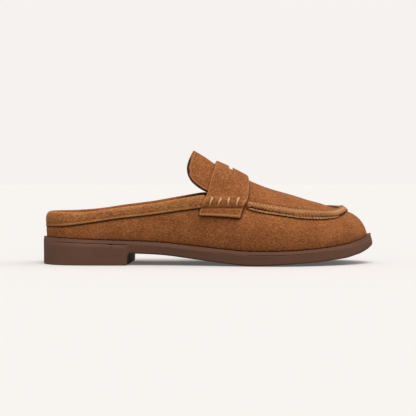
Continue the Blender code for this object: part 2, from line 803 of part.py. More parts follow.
def strap_loop(girth):
    """Section of the strap across its width, at a girth."""
    rear = look(STRAP, "rear", abs(girth))
    front = look(STRAP, "front", abs(girth))
    height = STRAP_THICKNESS + STRAP_PAD * look(STRAP, "pad", abs(girth))
    # Share of the width, and share of the height
    section = [
        (0.03, 0.0), (0.35, 0.0), (0.65, 0.0), (0.97, 0.0), (1.0, 0.30), (0.995, 0.72),
        (0.965, 1.0), (0.65, 1.04), (0.35, 1.04), (0.035, 1.0), (0.005, 0.72), (0.0, 0.30),
    ]
    loop = []
    for share, rise in section:
        along = rear + (front - rear) * share
        loop.append(skin_lifted(along, girth, FIT_GAP * 1.2 + height * rise))
    return loop


def make_slot_cutter():
    """The guide that cuts the slot at the strap's ridge, wider at its two ends."""
    middle = (look(STRAP, "rear", 0) + look(STRAP, "front", 0)) / 2
    centre = arch_point(middle, 0.0)
    through = SLOT_LENGTH
    steps = 20
    bm = bmesh.new()
    rim = []
    for step in range(steps):
        turn = 2 * PI * (step + 0.5) / steps
        reach = math.cos(turn)
        wide = SLOT_WIDTH / 2 * (1 + abs(reach) ** 3)
        side = math.copysign(abs(math.sin(turn)) ** 0.5, math.sin(turn))
        corner = centre + Vector((wide * side, SLOT_LENGTH / 2 * reach, -through / 2))
        rim.append(bm.verts.new(corner))
    base = bm.faces.new(rim)
    grown = bmesh.ops.extrude_face_region(bm, geom=[base])
    top = [item for item in grown["geom"] if isinstance(item, bmesh.types.BMVert)]
    bmesh.ops.translate(bm, verts=top, vec=(0.0, 0.0, through))
    bmesh.ops.recalc_face_normals(bm, faces=bm.faces)
    mesh = bpy.data.meshes.new("slot_guide")
    bm.to_mesh(mesh)
    bm.free()
    guide = bpy.data.objects.new("slot_guide", mesh)
    bpy.context.scene.collection.objects.link(guide)
    guide.hide_render = True
    guide.display_type = "WIRE"
    return guide


def make_strap(finish):
    """The saddle strap, from the outer wall over the instep to the inner wall, with its slot."""
    side = [row.along for row in STRAP[5:]]
    arch = [step / 10 for step in range(10)]
    girths = [-girth for girth in reversed(arch[1:] + side)] + arch + side
    strap = tube("strap", [strap_loop(girth) for girth in girths], finish, closed=False)
    cut = strap.modifiers.new("slot", "BOOLEAN")
    cut.operation = "DIFFERENCE"
    cut.solver = "EXACT"
    cut.object = make_slot_cutter()
    return strap


def clear_scene():
    """Removes what the file holds."""
    for item in list(bpy.data.objects):
        bpy.data.objects.remove(item, do_unlink=True)


def main():
    """Builds the shoe."""
    clear_scene()
    knit = make_finish("knit", (0.30, 0.13, 0.05), 0.85)
    binding = make_finish("binding", (0.33, 0.15, 0.06), 0.85)
    rubber = make_finish("rubber", (0.11, 0.055, 0.035), 0.55)
    lining = make_finish("footbed", (0.24, 0.12, 0.06), 0.8)
    make_outsole(rubber)
    make_welt(rubber.copy())
    make_insole(lining)
    make_upper(knit)
    make_collar_band(binding)
    make_apron_roll(knit.copy())
    make_tongue(knit.copy())
    make_strap(knit.copy())


main()
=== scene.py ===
# %% [markdown]
# A suede loafer mule, dressed piece by piece
#
# The real shoe has a caramel suede upper on a brown moulded sole. Its shape is already settled in
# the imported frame: this lesson loads that frame, looks at it from the picture's place, and then
# gives every piece its real surface. Everything is in metres, with the toe along +X and the
# outer side of this right shoe towards -Y.

# %% Load the frame
import math

import bmesh
import bpy
import numpy as np
from mathutils import Matrix, Vector
from mathutils.bvhtree import BVHTree
from mathutils.kdtree import KDTree


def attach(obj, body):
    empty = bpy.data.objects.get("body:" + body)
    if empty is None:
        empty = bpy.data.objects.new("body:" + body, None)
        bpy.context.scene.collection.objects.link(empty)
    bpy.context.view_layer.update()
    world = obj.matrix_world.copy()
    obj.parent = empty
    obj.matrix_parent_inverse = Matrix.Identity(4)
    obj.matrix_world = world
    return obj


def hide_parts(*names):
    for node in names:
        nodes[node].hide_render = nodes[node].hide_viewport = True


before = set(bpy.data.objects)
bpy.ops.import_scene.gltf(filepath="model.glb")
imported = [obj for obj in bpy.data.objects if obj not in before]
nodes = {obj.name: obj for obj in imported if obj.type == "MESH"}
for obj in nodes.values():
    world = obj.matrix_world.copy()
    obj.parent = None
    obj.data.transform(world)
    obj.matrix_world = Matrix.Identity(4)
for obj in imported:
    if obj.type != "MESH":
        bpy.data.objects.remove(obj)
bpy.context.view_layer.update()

MM = 0.001
BODY = "root"

# %% [markdown]
# The camera stands a metre off, just below the height of the instep, and looks a little down.
# Those values come from the picture's own outline. A helper turns a pixel of the 416 by 416
# picture into a line of sight, so that a stitch can be put where the picture shows it and still
# lie on the leather that carries it.

# %% Camera
EYE = Vector((0.0, -1.0, 66.6 * MM))
LOOK_DOWN = math.atan(0.0213)
LENS = 105.1
SENSOR = 36.0
PICTURE = 416

camera = bpy.data.objects.new("camera", bpy.data.cameras.new("camera"))
camera.data.lens = LENS
camera.data.sensor_width = SENSOR
camera.location = EYE
camera.rotation_euler = (math.pi / 2 - LOOK_DOWN, 0.0, 0.0)
bpy.context.scene.collection.objects.link(camera)
bpy.context.scene.camera = camera


def sight(px, py):
    """Direction from the camera through a pixel of the picture."""
    scale = SENSOR / LENS / PICTURE
    ray = Vector(((px - PICTURE / 2) * scale, (PICTURE / 2 - py) * scale, -1.0))
    return (camera.rotation_euler.to_matrix() @ ray).normalized()


print("camera at", [round(value, 4) for value in camera.location])

# %% [markdown]
# Shader nodes are many, so three small helpers keep the materials short: one adds a node and
# fills or links its inputs, one does arithmetic, and one mixes two colours.


# %% Helpers for shader nodes
def node(tree, kind, inputs=None, **settings):
    """Adds a shader node. Its inputs are set to values or linked to sockets."""
    made = tree.nodes.new("ShaderNode" + kind)
    for key, value in settings.items():
        setattr(made, key, value)
    for key, value in (inputs or {}).items():
        if isinstance(value, bpy.types.NodeSocket):
            tree.links.new(value, made.inputs[key])
        else:
            made.inputs[key].default_value = value
    return made


def calc(tree, operation, first, second=0.0, third=None):
    """Output of a Math node."""
    values = {0: first, 1: second}
    if third is not None:
        values[2] = third
    return node(tree, "Math", values, operation=operation).outputs[0]


def mix(tree, factor, first, second, how="MIX"):
    """Output of a node that mixes two colours."""
    made = node(tree, "Mix", data_type="RGBA", blend_type=how)
    for index, value in ((0, factor), (6, first), (7, second)):
        if isinstance(value, bpy.types.NodeSocket):
            tree.links.new(value, made.inputs[index])
        else:
            made.inputs[index].default_value = value
    return made.outputs[2]


def spread(tree, value, low, high, start=0.0, end=1.0):
    """Output of a Map Range node, held inside its ends."""
    inputs = {"Value": value, "From Min": low, "From Max": high, "To Min": start, "To Max": end}
    return node(tree, "MapRange", inputs).outputs[0]


def new_material(name):
    """A material with its tree and its Principled shader."""
    made = bpy.data.materials.new(name)
    made.use_nodes = True
    return made, made.node_tree, made.node_tree.nodes["Principled BSDF"]


print("helpers:", [helper.__name__ for helper in (node, calc, mix, spread, new_material)])

# %% [markdown]
# Suede is leather with its fibres raised. From a step away it shows as short, soft strokes that
# lie roughly along the shoe, with paler tips and darker roots, and as broad clouds where the nap
# was brushed one way or the other. Upper, binding, roll, tongue and strap all share it, so the
# pattern is one node group, and each material sets its own colours.


# %% Nap of the suede as a node group
# Of each layer of noise: its scale as a share of the grain, and its detail
COARSE_STROKES = (1.1, 3.0)
FINE_STROKES = (1.5, 2.0)
BROAD_CLOUDS = (0.07, 3.0)
LYING_SCALE = (0.5, 0.6, 1.3)
NOISE_ROUGHNESS = 0.62
STROKE_RANGE = (0.39, 0.61)
CLOUD_RANGE = (0.36, 0.66)


def make_nap():
    """Group that puts out the strokes, the clouds and the height of the nap."""
    tree = bpy.data.node_groups.new("nap", "ShaderNodeTree")
    face = tree.interface
    face.new_socket(name="Vector", in_out="INPUT", socket_type="NodeSocketVector")
    face.new_socket(name="Grain", in_out="INPUT", socket_type="NodeSocketFloat")
    for label in ("Strokes", "Clouds", "Height"):
        face.new_socket(name=label, in_out="OUTPUT", socket_type="NodeSocketFloat")
    start = tree.nodes.new("NodeGroupInput")
    end = tree.nodes.new("NodeGroupOutput")
    lying = node(tree, "Mapping", {"Vector": start.outputs["Vector"], "Scale": LYING_SCALE})
    layers = []
    for vector, (scale, detail) in (
        (lying.outputs[0], COARSE_STROKES),
        (start.outputs["Vector"], FINE_STROKES),
        (start.outputs["Vector"], BROAD_CLOUDS),
    ):
        size = calc(tree, "MULTIPLY", start.outputs["Grain"], scale)
        inputs = {"Vector": vector, "Scale": size, "Detail": detail, "Roughness": NOISE_ROUGHNESS}
        layers.append(node(tree, "TexNoise", inputs).outputs["Fac"])
    coarse, fine, cloud = layers
    both = calc(tree, "MULTIPLY_ADD", fine, 0.45, calc(tree, "MULTIPLY", coarse, 0.55))
    tree.links.new(spread(tree, both, *STROKE_RANGE), end.inputs["Strokes"])
    tree.links.new(spread(tree, cloud, *CLOUD_RANGE), end.inputs["Clouds"])
    tree.links.new(both, end.inputs["Height"])
    return tree


nap = make_nap()
print("nap has", len(nap.nodes), "nodes")

# %% [markdown]
# A suede material reads the group in Object coordinates, so the grain keeps its size on every
# piece. Two attributes of a piece steer it. The first goes from 0 on open leather to 1 and paints
# shade into seams and recesses, and a few dark edges, in a near-black colour. The second is high
# on folded edges and ridges and paints highlights there in the pale tip colour. A little sheen
# gives the pale rim that fibres show where the surface turns away.


# %% Suede
GRAIN = 1000.0
NAP_DEPTH = 0.6 * MM
NAP_BUMP = 0.4
CLOUD_SHARE = 0.16
DEEP_SHARE = 0.10
SHEEN = 0.12
SHEEN_TINT = (1.0, 0.62, 0.32, 1.0)


def suede(name, root, body, tip):
    """A napped leather from the colours of its roots, its body and its tips."""
    made, tree, shader = new_material(name)
    place = node(tree, "TexCoord").outputs["Object"]
    fibre = tree.nodes.new("ShaderNodeGroup")
    fibre.node_tree = nap
    fibre.inputs["Grain"].default_value = GRAIN
    tree.links.new(place, fibre.inputs["Vector"])
    shade_and_dark_edges = node(tree, "Attribute", attribute_name="shade_and_dark_edges").outputs["Fac"]
    painted_highlight = node(tree, "Attribute", attribute_name="painted_highlight").outputs["Fac"]
    ramp = node(tree, "ValToRGB", {"Fac": fibre.outputs["Strokes"]})
    ramp.color_ramp.elements[0].color = (*root, 1.0)
    ramp.color_ramp.elements[1].color = (*tip, 1.0)
    ramp.color_ramp.elements.new(0.5).color = (*body, 1.0)
    brushed = mix(tree, CLOUD_SHARE, ramp.outputs["Color"], fibre.outputs["Clouds"], "SOFT_LIGHT")
    # Painted highlights: the colour is drawn towards the pale tips where the highlight attribute is high
    highlighted = mix(tree, painted_highlight, brushed, (*tip, 1.0))
    # Painted shade: the colour is drawn towards near black in seams, recesses and a few dark edges
    deep = tuple(value * DEEP_SHARE for value in root)
    colour = mix(tree, shade_and_dark_edges, highlighted, (*deep, 1.0))
    tree.links.new(colour, shader.inputs["Base Color"])
    rough = spread(tree, fibre.outputs["Strokes"], 0.0, 1.0, 0.98, 0.82)
    tree.links.new(rough, shader.inputs["Roughness"])
    shader.inputs["Specular IOR Level"].default_value = 0.25
    shader.inputs["Sheen Weight"].default_value = SHEEN
    shader.inputs["Sheen Roughness"].default_value = 0.45
    shader.inputs["Sheen Tint"].default_value = SHEEN_TINT
    inputs = {"Strength": NAP_BUMP, "Distance": NAP_DEPTH, "Height": fibre.outputs["Height"]}
    tree.links.new(node(tree, "Bump", inputs).outputs[0], shader.inputs["Normal"])
    return made


caramel = suede("caramel_suede", (0.235, 0.066, 0.015), (0.365, 0.118, 0.032), (0.54, 0.21, 0.070))
# A slightly darker copy of the caramel suede for the strap and the tongue; the difference is painted shade
shaded_strap_suede = suede("shaded_strap_suede", (0.22, 0.060, 0.013), (0.335, 0.106, 0.029), (0.52, 0.20, 0.066))
binding_suede = suede("binding_suede", (0.25, 0.079, 0.020), (0.43, 0.154, 0.044), (0.64, 0.28, 0.10))
roll_suede = suede("roll_suede", (0.25, 0.080, 0.022), (0.41, 0.148, 0.044), (0.74, 0.36, 0.15))
# A darker copy of the suede for the inward half of the binding: painted shade inside the collar
shaded_inner_suede = suede("shaded_inner_suede", (0.21, 0.058, 0.014), (0.35, 0.108, 0.030), (0.46, 0.16, 0.050))
suedes = (caramel, shaded_strap_suede, binding_suede, roll_suede, shaded_inner_suede)
print("suedes:", [finish.name for finish in suedes])

# %% [markdown]
# The sole is one moulding in warm brown rubber. Such a surface is almost even: it has a fine
# spark texture from its mould, faint flow lines along the sole, and slightly paler edges where
# handling polishes it.


# %% Moulded rubber
SPARK_SCALE = 2400.0
SPARK_DEPTH = 0.15 * MM
FLOW_SCALE = 260.0
FLOW_STRETCH = (0.12, 0.12, 1.0)
RUBBER_CLOUDS = 40.0


def rubber(name, shade, light, edge):
    """A matt moulded rubber with a spark texture."""
    made, tree, shader = new_material(name)
    place = node(tree, "TexCoord").outputs["Object"]
    spark = node(tree, "TexNoise", {"Vector": place, "Scale": SPARK_SCALE, "Detail": 2.0}).outputs["Fac"]
    lying = node(tree, "Mapping", {"Vector": place, "Scale": FLOW_STRETCH}).outputs[0]
    flow = node(tree, "TexNoise", {"Vector": lying, "Scale": FLOW_SCALE, "Detail": 3.0}).outputs["Fac"]
    inputs = {"Vector": place, "Scale": RUBBER_CLOUDS, "Detail": 2.0}
    cloud = node(tree, "TexNoise", inputs).outputs["Fac"]
    worn = node(tree, "Attribute", attribute_name="worn").outputs["Fac"]
    both = calc(tree, "MULTIPLY_ADD", flow, 0.5, calc(tree, "MULTIPLY", cloud, 0.5))
    base = mix(tree, spread(tree, both, 0.35, 0.65), (*shade, 1.0), (*light, 1.0))
    colour = mix(tree, worn, base, (*edge, 1.0))
    tree.links.new(colour, shader.inputs["Base Color"])
    tree.links.new(spread(tree, spark, 0.3, 0.7, 0.50, 0.68), shader.inputs["Roughness"])
    shader.inputs["Specular IOR Level"].default_value = 0.25
    inputs = {"Strength": 0.15, "Distance": SPARK_DEPTH, "Height": spark}
    tree.links.new(node(tree, "Bump", inputs).outputs[0], shader.inputs["Normal"])
    return made


sole_rubber = rubber("sole_rubber", (0.165, 0.076, 0.046), (0.190, 0.088, 0.054), (0.24, 0.12, 0.08))
welt_rubber = rubber("welt_rubber", (0.19, 0.088, 0.054), (0.23, 0.108, 0.067), (0.31, 0.17, 0.115))
print("rubbers:", sole_rubber.name, welt_rubber.name)

# %% [markdown]
# Inside, a mule is lined with thin smooth leather, and its footbed is covered in the same. Smooth
# leather shows fine closed pores and a soft gloss.


# %% Smooth leather
PORE_SCALE = 900.0
PORE_DEPTH = 0.2 * MM
LEATHER_CLOUDS = 60.0
PORE_GLOSS = 0.12


def smooth_leather(name, dark, light, roughness):
    """Lining leather with closed pores."""
    made, tree, shader = new_material(name)
    place = node(tree, "TexCoord").outputs["Object"]
    pores = node(tree, "TexVoronoi", {"Vector": place, "Scale": PORE_SCALE}).outputs["Distance"]
    inputs = {"Vector": place, "Scale": LEATHER_CLOUDS, "Detail": 3.0}
    cloud = node(tree, "TexNoise", inputs).outputs["Fac"]
    colour = mix(tree, spread(tree, cloud, 0.35, 0.65), (*dark, 1.0), (*light, 1.0))
    tree.links.new(colour, shader.inputs["Base Color"])
    rough = spread(tree, pores, 0.0, 0.8, roughness + PORE_GLOSS, roughness)
    tree.links.new(rough, shader.inputs["Roughness"])
    inputs = {"Strength": 0.2, "Distance": PORE_DEPTH, "Height": pores}
    tree.links.new(node(tree, "Bump", inputs).outputs[0], shader.inputs["Normal"])
    return made


lining_leather = smooth_leather("lining_leather", (0.13, 0.045, 0.018), (0.19, 0.07, 0.028), 0.55)
footbed_leather = smooth_leather("footbed_leather", (0.30, 0.13, 0.055), (0.38, 0.175, 0.08), 0.5)
tongue_lining = smooth_leather("tongue_lining", (0.085, 0.025, 0.010), (0.12, 0.04, 0.016), 0.6)
print("leathers:", lining_leather.name, footbed_leather.name, tongue_lining.name)

# %% [markdown]
# Thread is twisted from plies. Waves across each stitch stand for the twist, and noise breaks
# them up. The saddle stitches on the strap are undyed cream, the seams are sewn in tan.


# %% Thread
TWIST_SCALE = 900.0
TWIST_SLANT = math.radians(35)
TWIST_DEPTH = 0.2 * MM


def thread(name, dark, light):
    """Twisted sewing thread."""
    made, tree, shader = new_material(name)
    place = node(tree, "TexCoord").outputs["Object"]
    turned = node(tree, "Mapping", {"Vector": place, "Rotation": (0.0, TWIST_SLANT, 0.0)})
    wave = {"Vector": turned.outputs[0], "Scale": TWIST_SCALE, "Distortion": 1.5, "Detail": 1.0}
    twist = node(tree, "TexWave", wave).outputs["Fac"]
    tree.links.new(mix(tree, twist, (*dark, 1.0), (*light, 1.0)), shader.inputs["Base Color"])
    tree.links.new(spread(tree, twist, 0.0, 1.0, 0.8, 0.6), shader.inputs["Roughness"])
    inputs = {"Strength": 0.5, "Distance": TWIST_DEPTH, "Height": twist}
    tree.links.new(node(tree, "Bump", inputs).outputs[0], shader.inputs["Normal"])
    return made


cream_thread = thread("cream_thread", (0.55, 0.27, 0.11), (0.95, 0.60, 0.30))
tan_thread = thread("tan_thread", (0.34, 0.13, 0.045), (0.60, 0.27, 0.11))
print("threads:", cream_thread.name, tan_thread.name)

# %% [markdown]
# The frame's solids are made of flat facets. Their shape is right, so a copy is used for the
# looks: its loose triangles are merged and paired into quads, and a subdivision surface rounds
# them. Subdivision pulls a shape in, by half a millimetre round the toe, so the copy's points are
# first pushed out until the smooth surface passes through the places where they stood. The push
# has a limit, because a thin lip's points would otherwise swing out past its neighbours.


# %% Smooth copies of the frame's solids
MERGE_REACH = 0.01 * MM
MOST_PUSH = 0.8 * MM
PUSH_ROUNDS = 3


def merged(name):
    """A bmesh copy of a CAD node in quads."""
    bm = bmesh.new()
    bm.from_mesh(nodes[name].data)
    bmesh.ops.remove_doubles(bm, verts=bm.verts, dist=MERGE_REACH)
    bmesh.ops.join_triangles(
        bm,
        faces=bm.faces,
        angle_face_threshold=math.radians(60),
        angle_shape_threshold=math.radians(80),
    )
    return bm


def subdivided(mesh, levels):
    """A mesh as the subdivision surface shows it."""
    item = bpy.data.objects.new("smoothing", mesh)
    bpy.context.scene.collection.objects.link(item)
    surface = item.modifiers.new("smooth", "SUBSURF")
    surface.levels = levels
    surface.render_levels = levels
    seen = item.evaluated_get(bpy.context.evaluated_depsgraph_get())
    fine = bpy.data.meshes.new_from_object(seen)
    bpy.data.objects.remove(item)
    return fine


def points_of(mesh):
    """Vertex places of a mesh as an array."""
    flat = np.zeros(len(mesh.vertices) * 3, np.float32)
    mesh.vertices.foreach_get("co", flat)
    return flat.reshape(-1, 3).astype(float)


def smoothed(name, levels, sharp=40.0, crease=0.0, hold=0.5):
    """A smooth copy of a CAD node. Edges sharper than an angle keep a crease, and hold says how
    far their corners are pushed out."""
    bm = merged(name)
    layer = bm.edges.layers.float.new("crease_edge")
    weights = np.ones(len(bm.verts))
    for edge in bm.edges:
        if edge.is_manifold and edge.calc_face_angle() > math.radians(sharp):
            edge[layer] = crease
            for vert in edge.verts:
                weights[vert.index] = hold
    mesh = bpy.data.meshes.new(name + "_cage")
    bm.to_mesh(mesh)
    bm.free()
    for extra in ("custom_normal", "sharp_face", "sharp_edge"):
        if extra in mesh.attributes:
            mesh.attributes.remove(mesh.attributes[extra])
    wanted = points_of(mesh)
    cage = wanted.copy()
    for _ in range(PUSH_ROUNDS):
        now = points_of(subdivided(mesh, 1))[: len(wanted)]
        push = cage + (wanted - now) * weights[:, None] - wanted
        reach = np.linalg.norm(push, axis=1)[:, None]
        cage = wanted + push * np.minimum(1.0, MOST_PUSH / np.maximum(reach, 1e-9))
        mesh.vertices.foreach_set("co", cage.astype(np.float32).ravel())
        mesh.update()
    fine = bmesh.new()
    fine.from_mesh(subdivided(mesh, levels))
    miss = np.abs(wanted - points_of(subdivided(mesh, 1))[: len(wanted)]).max()
    print(f"{name}: {len(fine.faces)} faces, corners drawn in by at most {miss / MM:.2f} mm")
    return fine


print("corners are pushed out by at most", round(MOST_PUSH / MM, 2), "mm")

# %% [markdown]
# Every piece is added in the same way: its mesh is shaded smooth, but for edges that turn by more
# than a set angle, it gets its materials, and it rides on the shoe's one body. A value for each
# vertex can be written beside the mesh, for the materials to read.


# %% Adding pieces
SHARP_EDGE = math.radians(48.0)


def add_piece(name, bm, finishes, slot, *stands_for):
    """Makes a piece of a bmesh and rides it on the shoe. Its slot is not used."""
    mesh = bpy.data.meshes.new(name)
    bm.to_mesh(mesh)
    bm.free()
    mesh.shade_smooth()
    mesh.set_sharp_from_angle(angle=SHARP_EDGE)
    for finish in finishes:
        mesh.materials.append(finish)
    item = bpy.data.objects.new(name, mesh)
    bpy.context.scene.collection.objects.link(item)
    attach(item, BODY)
    if stands_for:
        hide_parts(*stands_for)
    return item


def mark(item, name, values):
    """Writes a value for each vertex as an attribute that materials can read."""
    layer = item.data.attributes.new(name, "FLOAT", "POINT")
    layer.data.foreach_set("value", np.asarray(values, np.float32))


def skin_of(item):
    """A tree of a piece's surface, for finding places on it."""
    return BVHTree.FromObject(item, bpy.context.evaluated_depsgraph_get())


print("edges stay sharp over", round(math.degrees(SHARP_EDGE)), "degrees")

# %% [markdown]
# Seams and stitches follow edges of the pieces. A fan of half planes round an axis cuts a piece
# into sections, and from each section one point is picked, such as the lowest. Joined up, and
# evened out, those points are a rail along the edge.


# %% Rails along edges
def fan(mesh, pivot, axis, zero, degrees):
    """Sections of a mesh by half planes round an axis: an array of points for each."""
    axis = np.array(axis, float)
    zero = np.array(zero, float)
    side = np.cross(axis, zero)
    places = points_of(mesh) - np.array(pivot)
    ends = np.zeros(len(mesh.edges) * 2, np.int32)
    mesh.edges.foreach_get("vertices", ends)
    first, second = places[ends[0::2]], places[ends[1::2]]
    sections = []
    for degree in degrees:
        turn = math.radians(degree)
        out = zero * math.cos(turn) + side * math.sin(turn)
        away = np.cross(axis, out)
        before, after = first @ away, second @ away
        crossing = before * after < 0
        share = before[crossing] / (before[crossing] - after[crossing])
        hits = first[crossing] + (second[crossing] - first[crossing]) * share[:, None]
        sections.append(hits[hits @ out > 0] + np.array(pivot))
    return sections


def evened(points, spacing, soften=2):
    """A rail's points, softened and spaced evenly."""
    points = np.array(points)
    for _ in range(soften):
        points[1:-1] = (points[:-2] + 2 * points[1:-1] + points[2:]) / 4
    steps = np.linalg.norm(np.diff(points, axis=0), axis=1)
    run = np.concatenate([[0.0], np.cumsum(steps)])
    count = max(int(round(run[-1] / spacing)), 1)
    wanted = np.linspace(0.0, run[-1], count + 1)
    return np.stack([np.interp(wanted, run, points[:, k]) for k in range(3)], axis=1)


def along_rail(places, rail):
    """Distance along a rail and the rail's index for each place."""
    starts, ends = rail[:-1], rail[1:]
    runs = ends - starts
    lengths = np.linalg.norm(runs, axis=1)
    offsets = np.concatenate([[0.0], np.cumsum(lengths)])[:-1]
    result = np.zeros(len(places))
    index = np.zeros(len(places), int)
    for begin in range(0, len(places), 4000):
        part = places[begin:begin + 4000]
        share = np.einsum("psk,sk->ps", part[:, None] - starts[None], runs) / lengths**2
        share = np.clip(share, 0.0, 1.0)
        gaps = np.linalg.norm(part[:, None] - starts[None] - share[..., None] * runs[None], axis=2)
        best = gaps.argmin(axis=1)
        rows = np.arange(len(part))
        result[begin:begin + 4000] = offsets[best] + share[rows, best] * lengths[best]
        index[begin:begin + 4000] = best
    return result, index


print("rails:", [helper.__name__ for helper in (fan, evened, along_rail)])

# %% [markdown]
# A small stitch is a grain of rice: a sphere of a few faces, drawn out along the seam and sunk a
# little into the leather. Hundreds of them in one mesh make a seam.


# %% Stitches
GRAIN_SIDES = 8
GRAIN_RINGS = 6


def add_grain(bm, place, along, out, length, width, height):
    """Adds one stitch at a place, lying along a direction and standing out of the surface."""
    along = Vector(along).normalized()
    out = (Vector(out) - along * along.dot(Vector(out))).normalized()
    across = out.cross(along)
    frame_of = Matrix((along * length / 2, across * width / 2, out * height / 2)).transposed()
    turn = Matrix.Translation(Vector(place)) @ frame_of.to_4x4()
    bmesh.ops.create_uvsphere(bm, u_segments=GRAIN_SIDES, v_segments=GRAIN_RINGS, radius=1.0, matrix=turn)


print("a stitch has", GRAIN_SIDES * GRAIN_RINGS, "faces")

# %% [markdown]
# Edges catch wear and light. How tightly a surface bends outwards can be read from its own
# points: each vertex is compared with the mean of its neighbours. The value is kept between 0 on
# a flat and 1 on a tight edge, and smoothed once so that it fades. Where a seam keeps a set
# distance from an edge, the sharp edges of the frame's own solid are sampled instead.


# %% Edges found by their bend
FLAT_BEND = 120.0
TIGHT_BEND = 600.0
SAMPLE_SPACING = 0.4 * MM


def neighbour_mean(values, ends, count):
    """Mean of a value over each vertex's neighbours."""
    total = np.zeros_like(values)
    np.add.at(total, ends[0::2], values[ends[1::2]])
    np.add.at(total, ends[1::2], values[ends[0::2]])
    shape = (-1,) + (1,) * (values.ndim - 1)
    return total / np.maximum(count, 1).reshape(shape)


def bend_of(item):
    """Outward bend of each vertex, from 0 at the flat to 1 at the tight curvature, in 1/m."""
    mesh = item.data
    ends = np.zeros(len(mesh.edges) * 2, np.int32)
    mesh.edges.foreach_get("vertices", ends)
    count = np.bincount(ends, minlength=len(mesh.vertices))
    places = points_of(mesh)
    normals = np.zeros(len(mesh.vertices) * 3, np.float32)
    mesh.vertices.foreach_get("normal", normals)
    normals = normals.reshape(-1, 3)
    lengths = np.linalg.norm(places[ends[0::2]] - places[ends[1::2]], axis=1)
    square = np.repeat(lengths**2, 2)
    spans = np.bincount(ends, weights=square, minlength=len(mesh.vertices)) / np.maximum(count, 1)
    lift = ((places - neighbour_mean(places, ends, count)) * normals).sum(axis=1)
    curvature = 2 * lift / np.maximum(spans, 1e-12)
    bend = np.clip((curvature - FLAT_BEND) / (TIGHT_BEND - FLAT_BEND), 0, 1)
    return (bend + neighbour_mean(bend, ends, count)) / 2


def edge_distance(places, name, sharp=40.0):
    """Distance of each place from the sharp edges of a CAD node."""
    bm = merged(name)
    samples = []
    for edge in bm.edges:
        if edge.is_manifold and edge.calc_face_angle() > math.radians(sharp):
            steps = max(int(edge.calc_length() / SAMPLE_SPACING), 1)
            first, second = edge.verts[0].co, edge.verts[1].co
            samples += [first.lerp(second, k / steps) for k in range(steps + 1)]
    bm.free()
    lookup = KDTree(len(samples))
    for k, sample in enumerate(samples):
        lookup.insert(sample, k)
    lookup.balance()
    return np.array([lookup.find(place)[2] for place in places])


print("bend counts as an edge from a radius of", round(1 / FLAT_BEND / MM, 1), "mm")

# %% [markdown]
# The sole first. A copy of the outsole is rounded. Its bottom edge is bent to the toe spring in
# the picture, and its top rim is drawn forward at the tip. A value named worn follows its edges,
# where moulded rubber looks paler.

# %% Outsole
EDGE_WEAR = 0.1
# Along the shoe, how much higher or lower the bottom edge runs than in the frame's solid
SPRING_X = np.array([40.0, 60.0, 72.0, 86.0, 100.0, 111.0, 120.0, 128.0, 135.0]) * MM
SPRING_LIFT = np.array([0.0, 0.8, 1.3, 1.0, 0.6, -0.3, -0.5, -1.2, -1.8]) * MM
SPRING_REACH = 5 * MM
FLOOR_GAP = 0.02 * MM
TIP_START = 118 * MM
TIP_END = 134 * MM
TIP_PUSH = 0.9 * MM
TIP_LOW = 12 * MM
TIP_RISE = 5 * MM
ROW_STEP = 4 * MM


def tip_push(place):
    """How far a place on the toe's top rim is drawn forward."""
    forward = min(max((place.x - TIP_START) / (TIP_END - TIP_START), 0.0), 1.0)
    high = min(max((place.z - TIP_LOW) / TIP_RISE, 0.0), 1.0)
    return TIP_PUSH * forward * high


sole_bm = smoothed("outsole", 3, sharp=35.0, crease=0.95, hold=1.0)
bottoms = {}
for vert in sole_bm.verts:
    row = round(vert.co.x / ROW_STEP)
    bottoms[row] = min(bottoms.get(row, 1.0), vert.co.z)
rows = sorted(bottoms)
for vert in sole_bm.verts:
    low = np.interp(vert.co.x / ROW_STEP, rows, [bottoms[row] for row in rows])
    share = min(max(1 - (vert.co.z - low) / SPRING_REACH, 0.0), 1.0)
    vert.co.z += np.interp(vert.co.x, SPRING_X, SPRING_LIFT) * share
    vert.co.z = max(vert.co.z, FLOOR_GAP)
    vert.co.x += tip_push(vert.co)
sole = add_piece("sole_unit", sole_bm, [sole_rubber], "sole", "outsole")
mark(sole, "worn", EDGE_WEAR * bend_of(sole))
print("sole:", len(sole.data.polygons), "faces")

# %% [markdown]
# The welt is a notched strip of the same rubber. Its notches are sharp, so its copy is only
# merged. It follows the sole's rim forward at the tip, and its underside is sunk into the sole,
# so that no light passes between them.

# %% Welt
WELT_SUNK = 0.5 * MM
LOOKS_DOWN = -0.8

welt_bm = merged("welt")
welt_bm.normal_update()
undersides = {vert for face in welt_bm.faces if face.normal.z < LOOKS_DOWN for vert in face.verts}
for vert in welt_bm.verts:
    vert.co.x += tip_push(vert.co)
    if vert in undersides:
        vert.co.z -= WELT_SUNK
welt = add_piece("welt_ribbed", welt_bm, [welt_rubber], "welt", "welt")
print("welt:", len(undersides), "points sunk into the sole")

# %% [markdown]
# The footbed is a sheet of foam under leather. Nobody sees it from the side, but from above it
# fills the shoe. Its rim is thin and would swing out if it were smoothed, so it is only merged.

# %% Footbed
footbed_bm = merged("insole")
footbed = add_piece("footbed", footbed_bm, [footbed_leather], "footbed", "insole")
print("footbed:", len(footbed.data.polygons), "faces")

# %% [markdown]
# The upper is one shell. Its faces that look inwards are lining, and the others are suede. A line
# through the middle of the foot tells them apart: a face that looks towards it is inside. Just
# over the welt the suede is later given a dark band of painted shade.

# %% Upper
FOOT_LINE_HEIGHT = 30 * MM
FOOT_LINE_END = 95 * MM

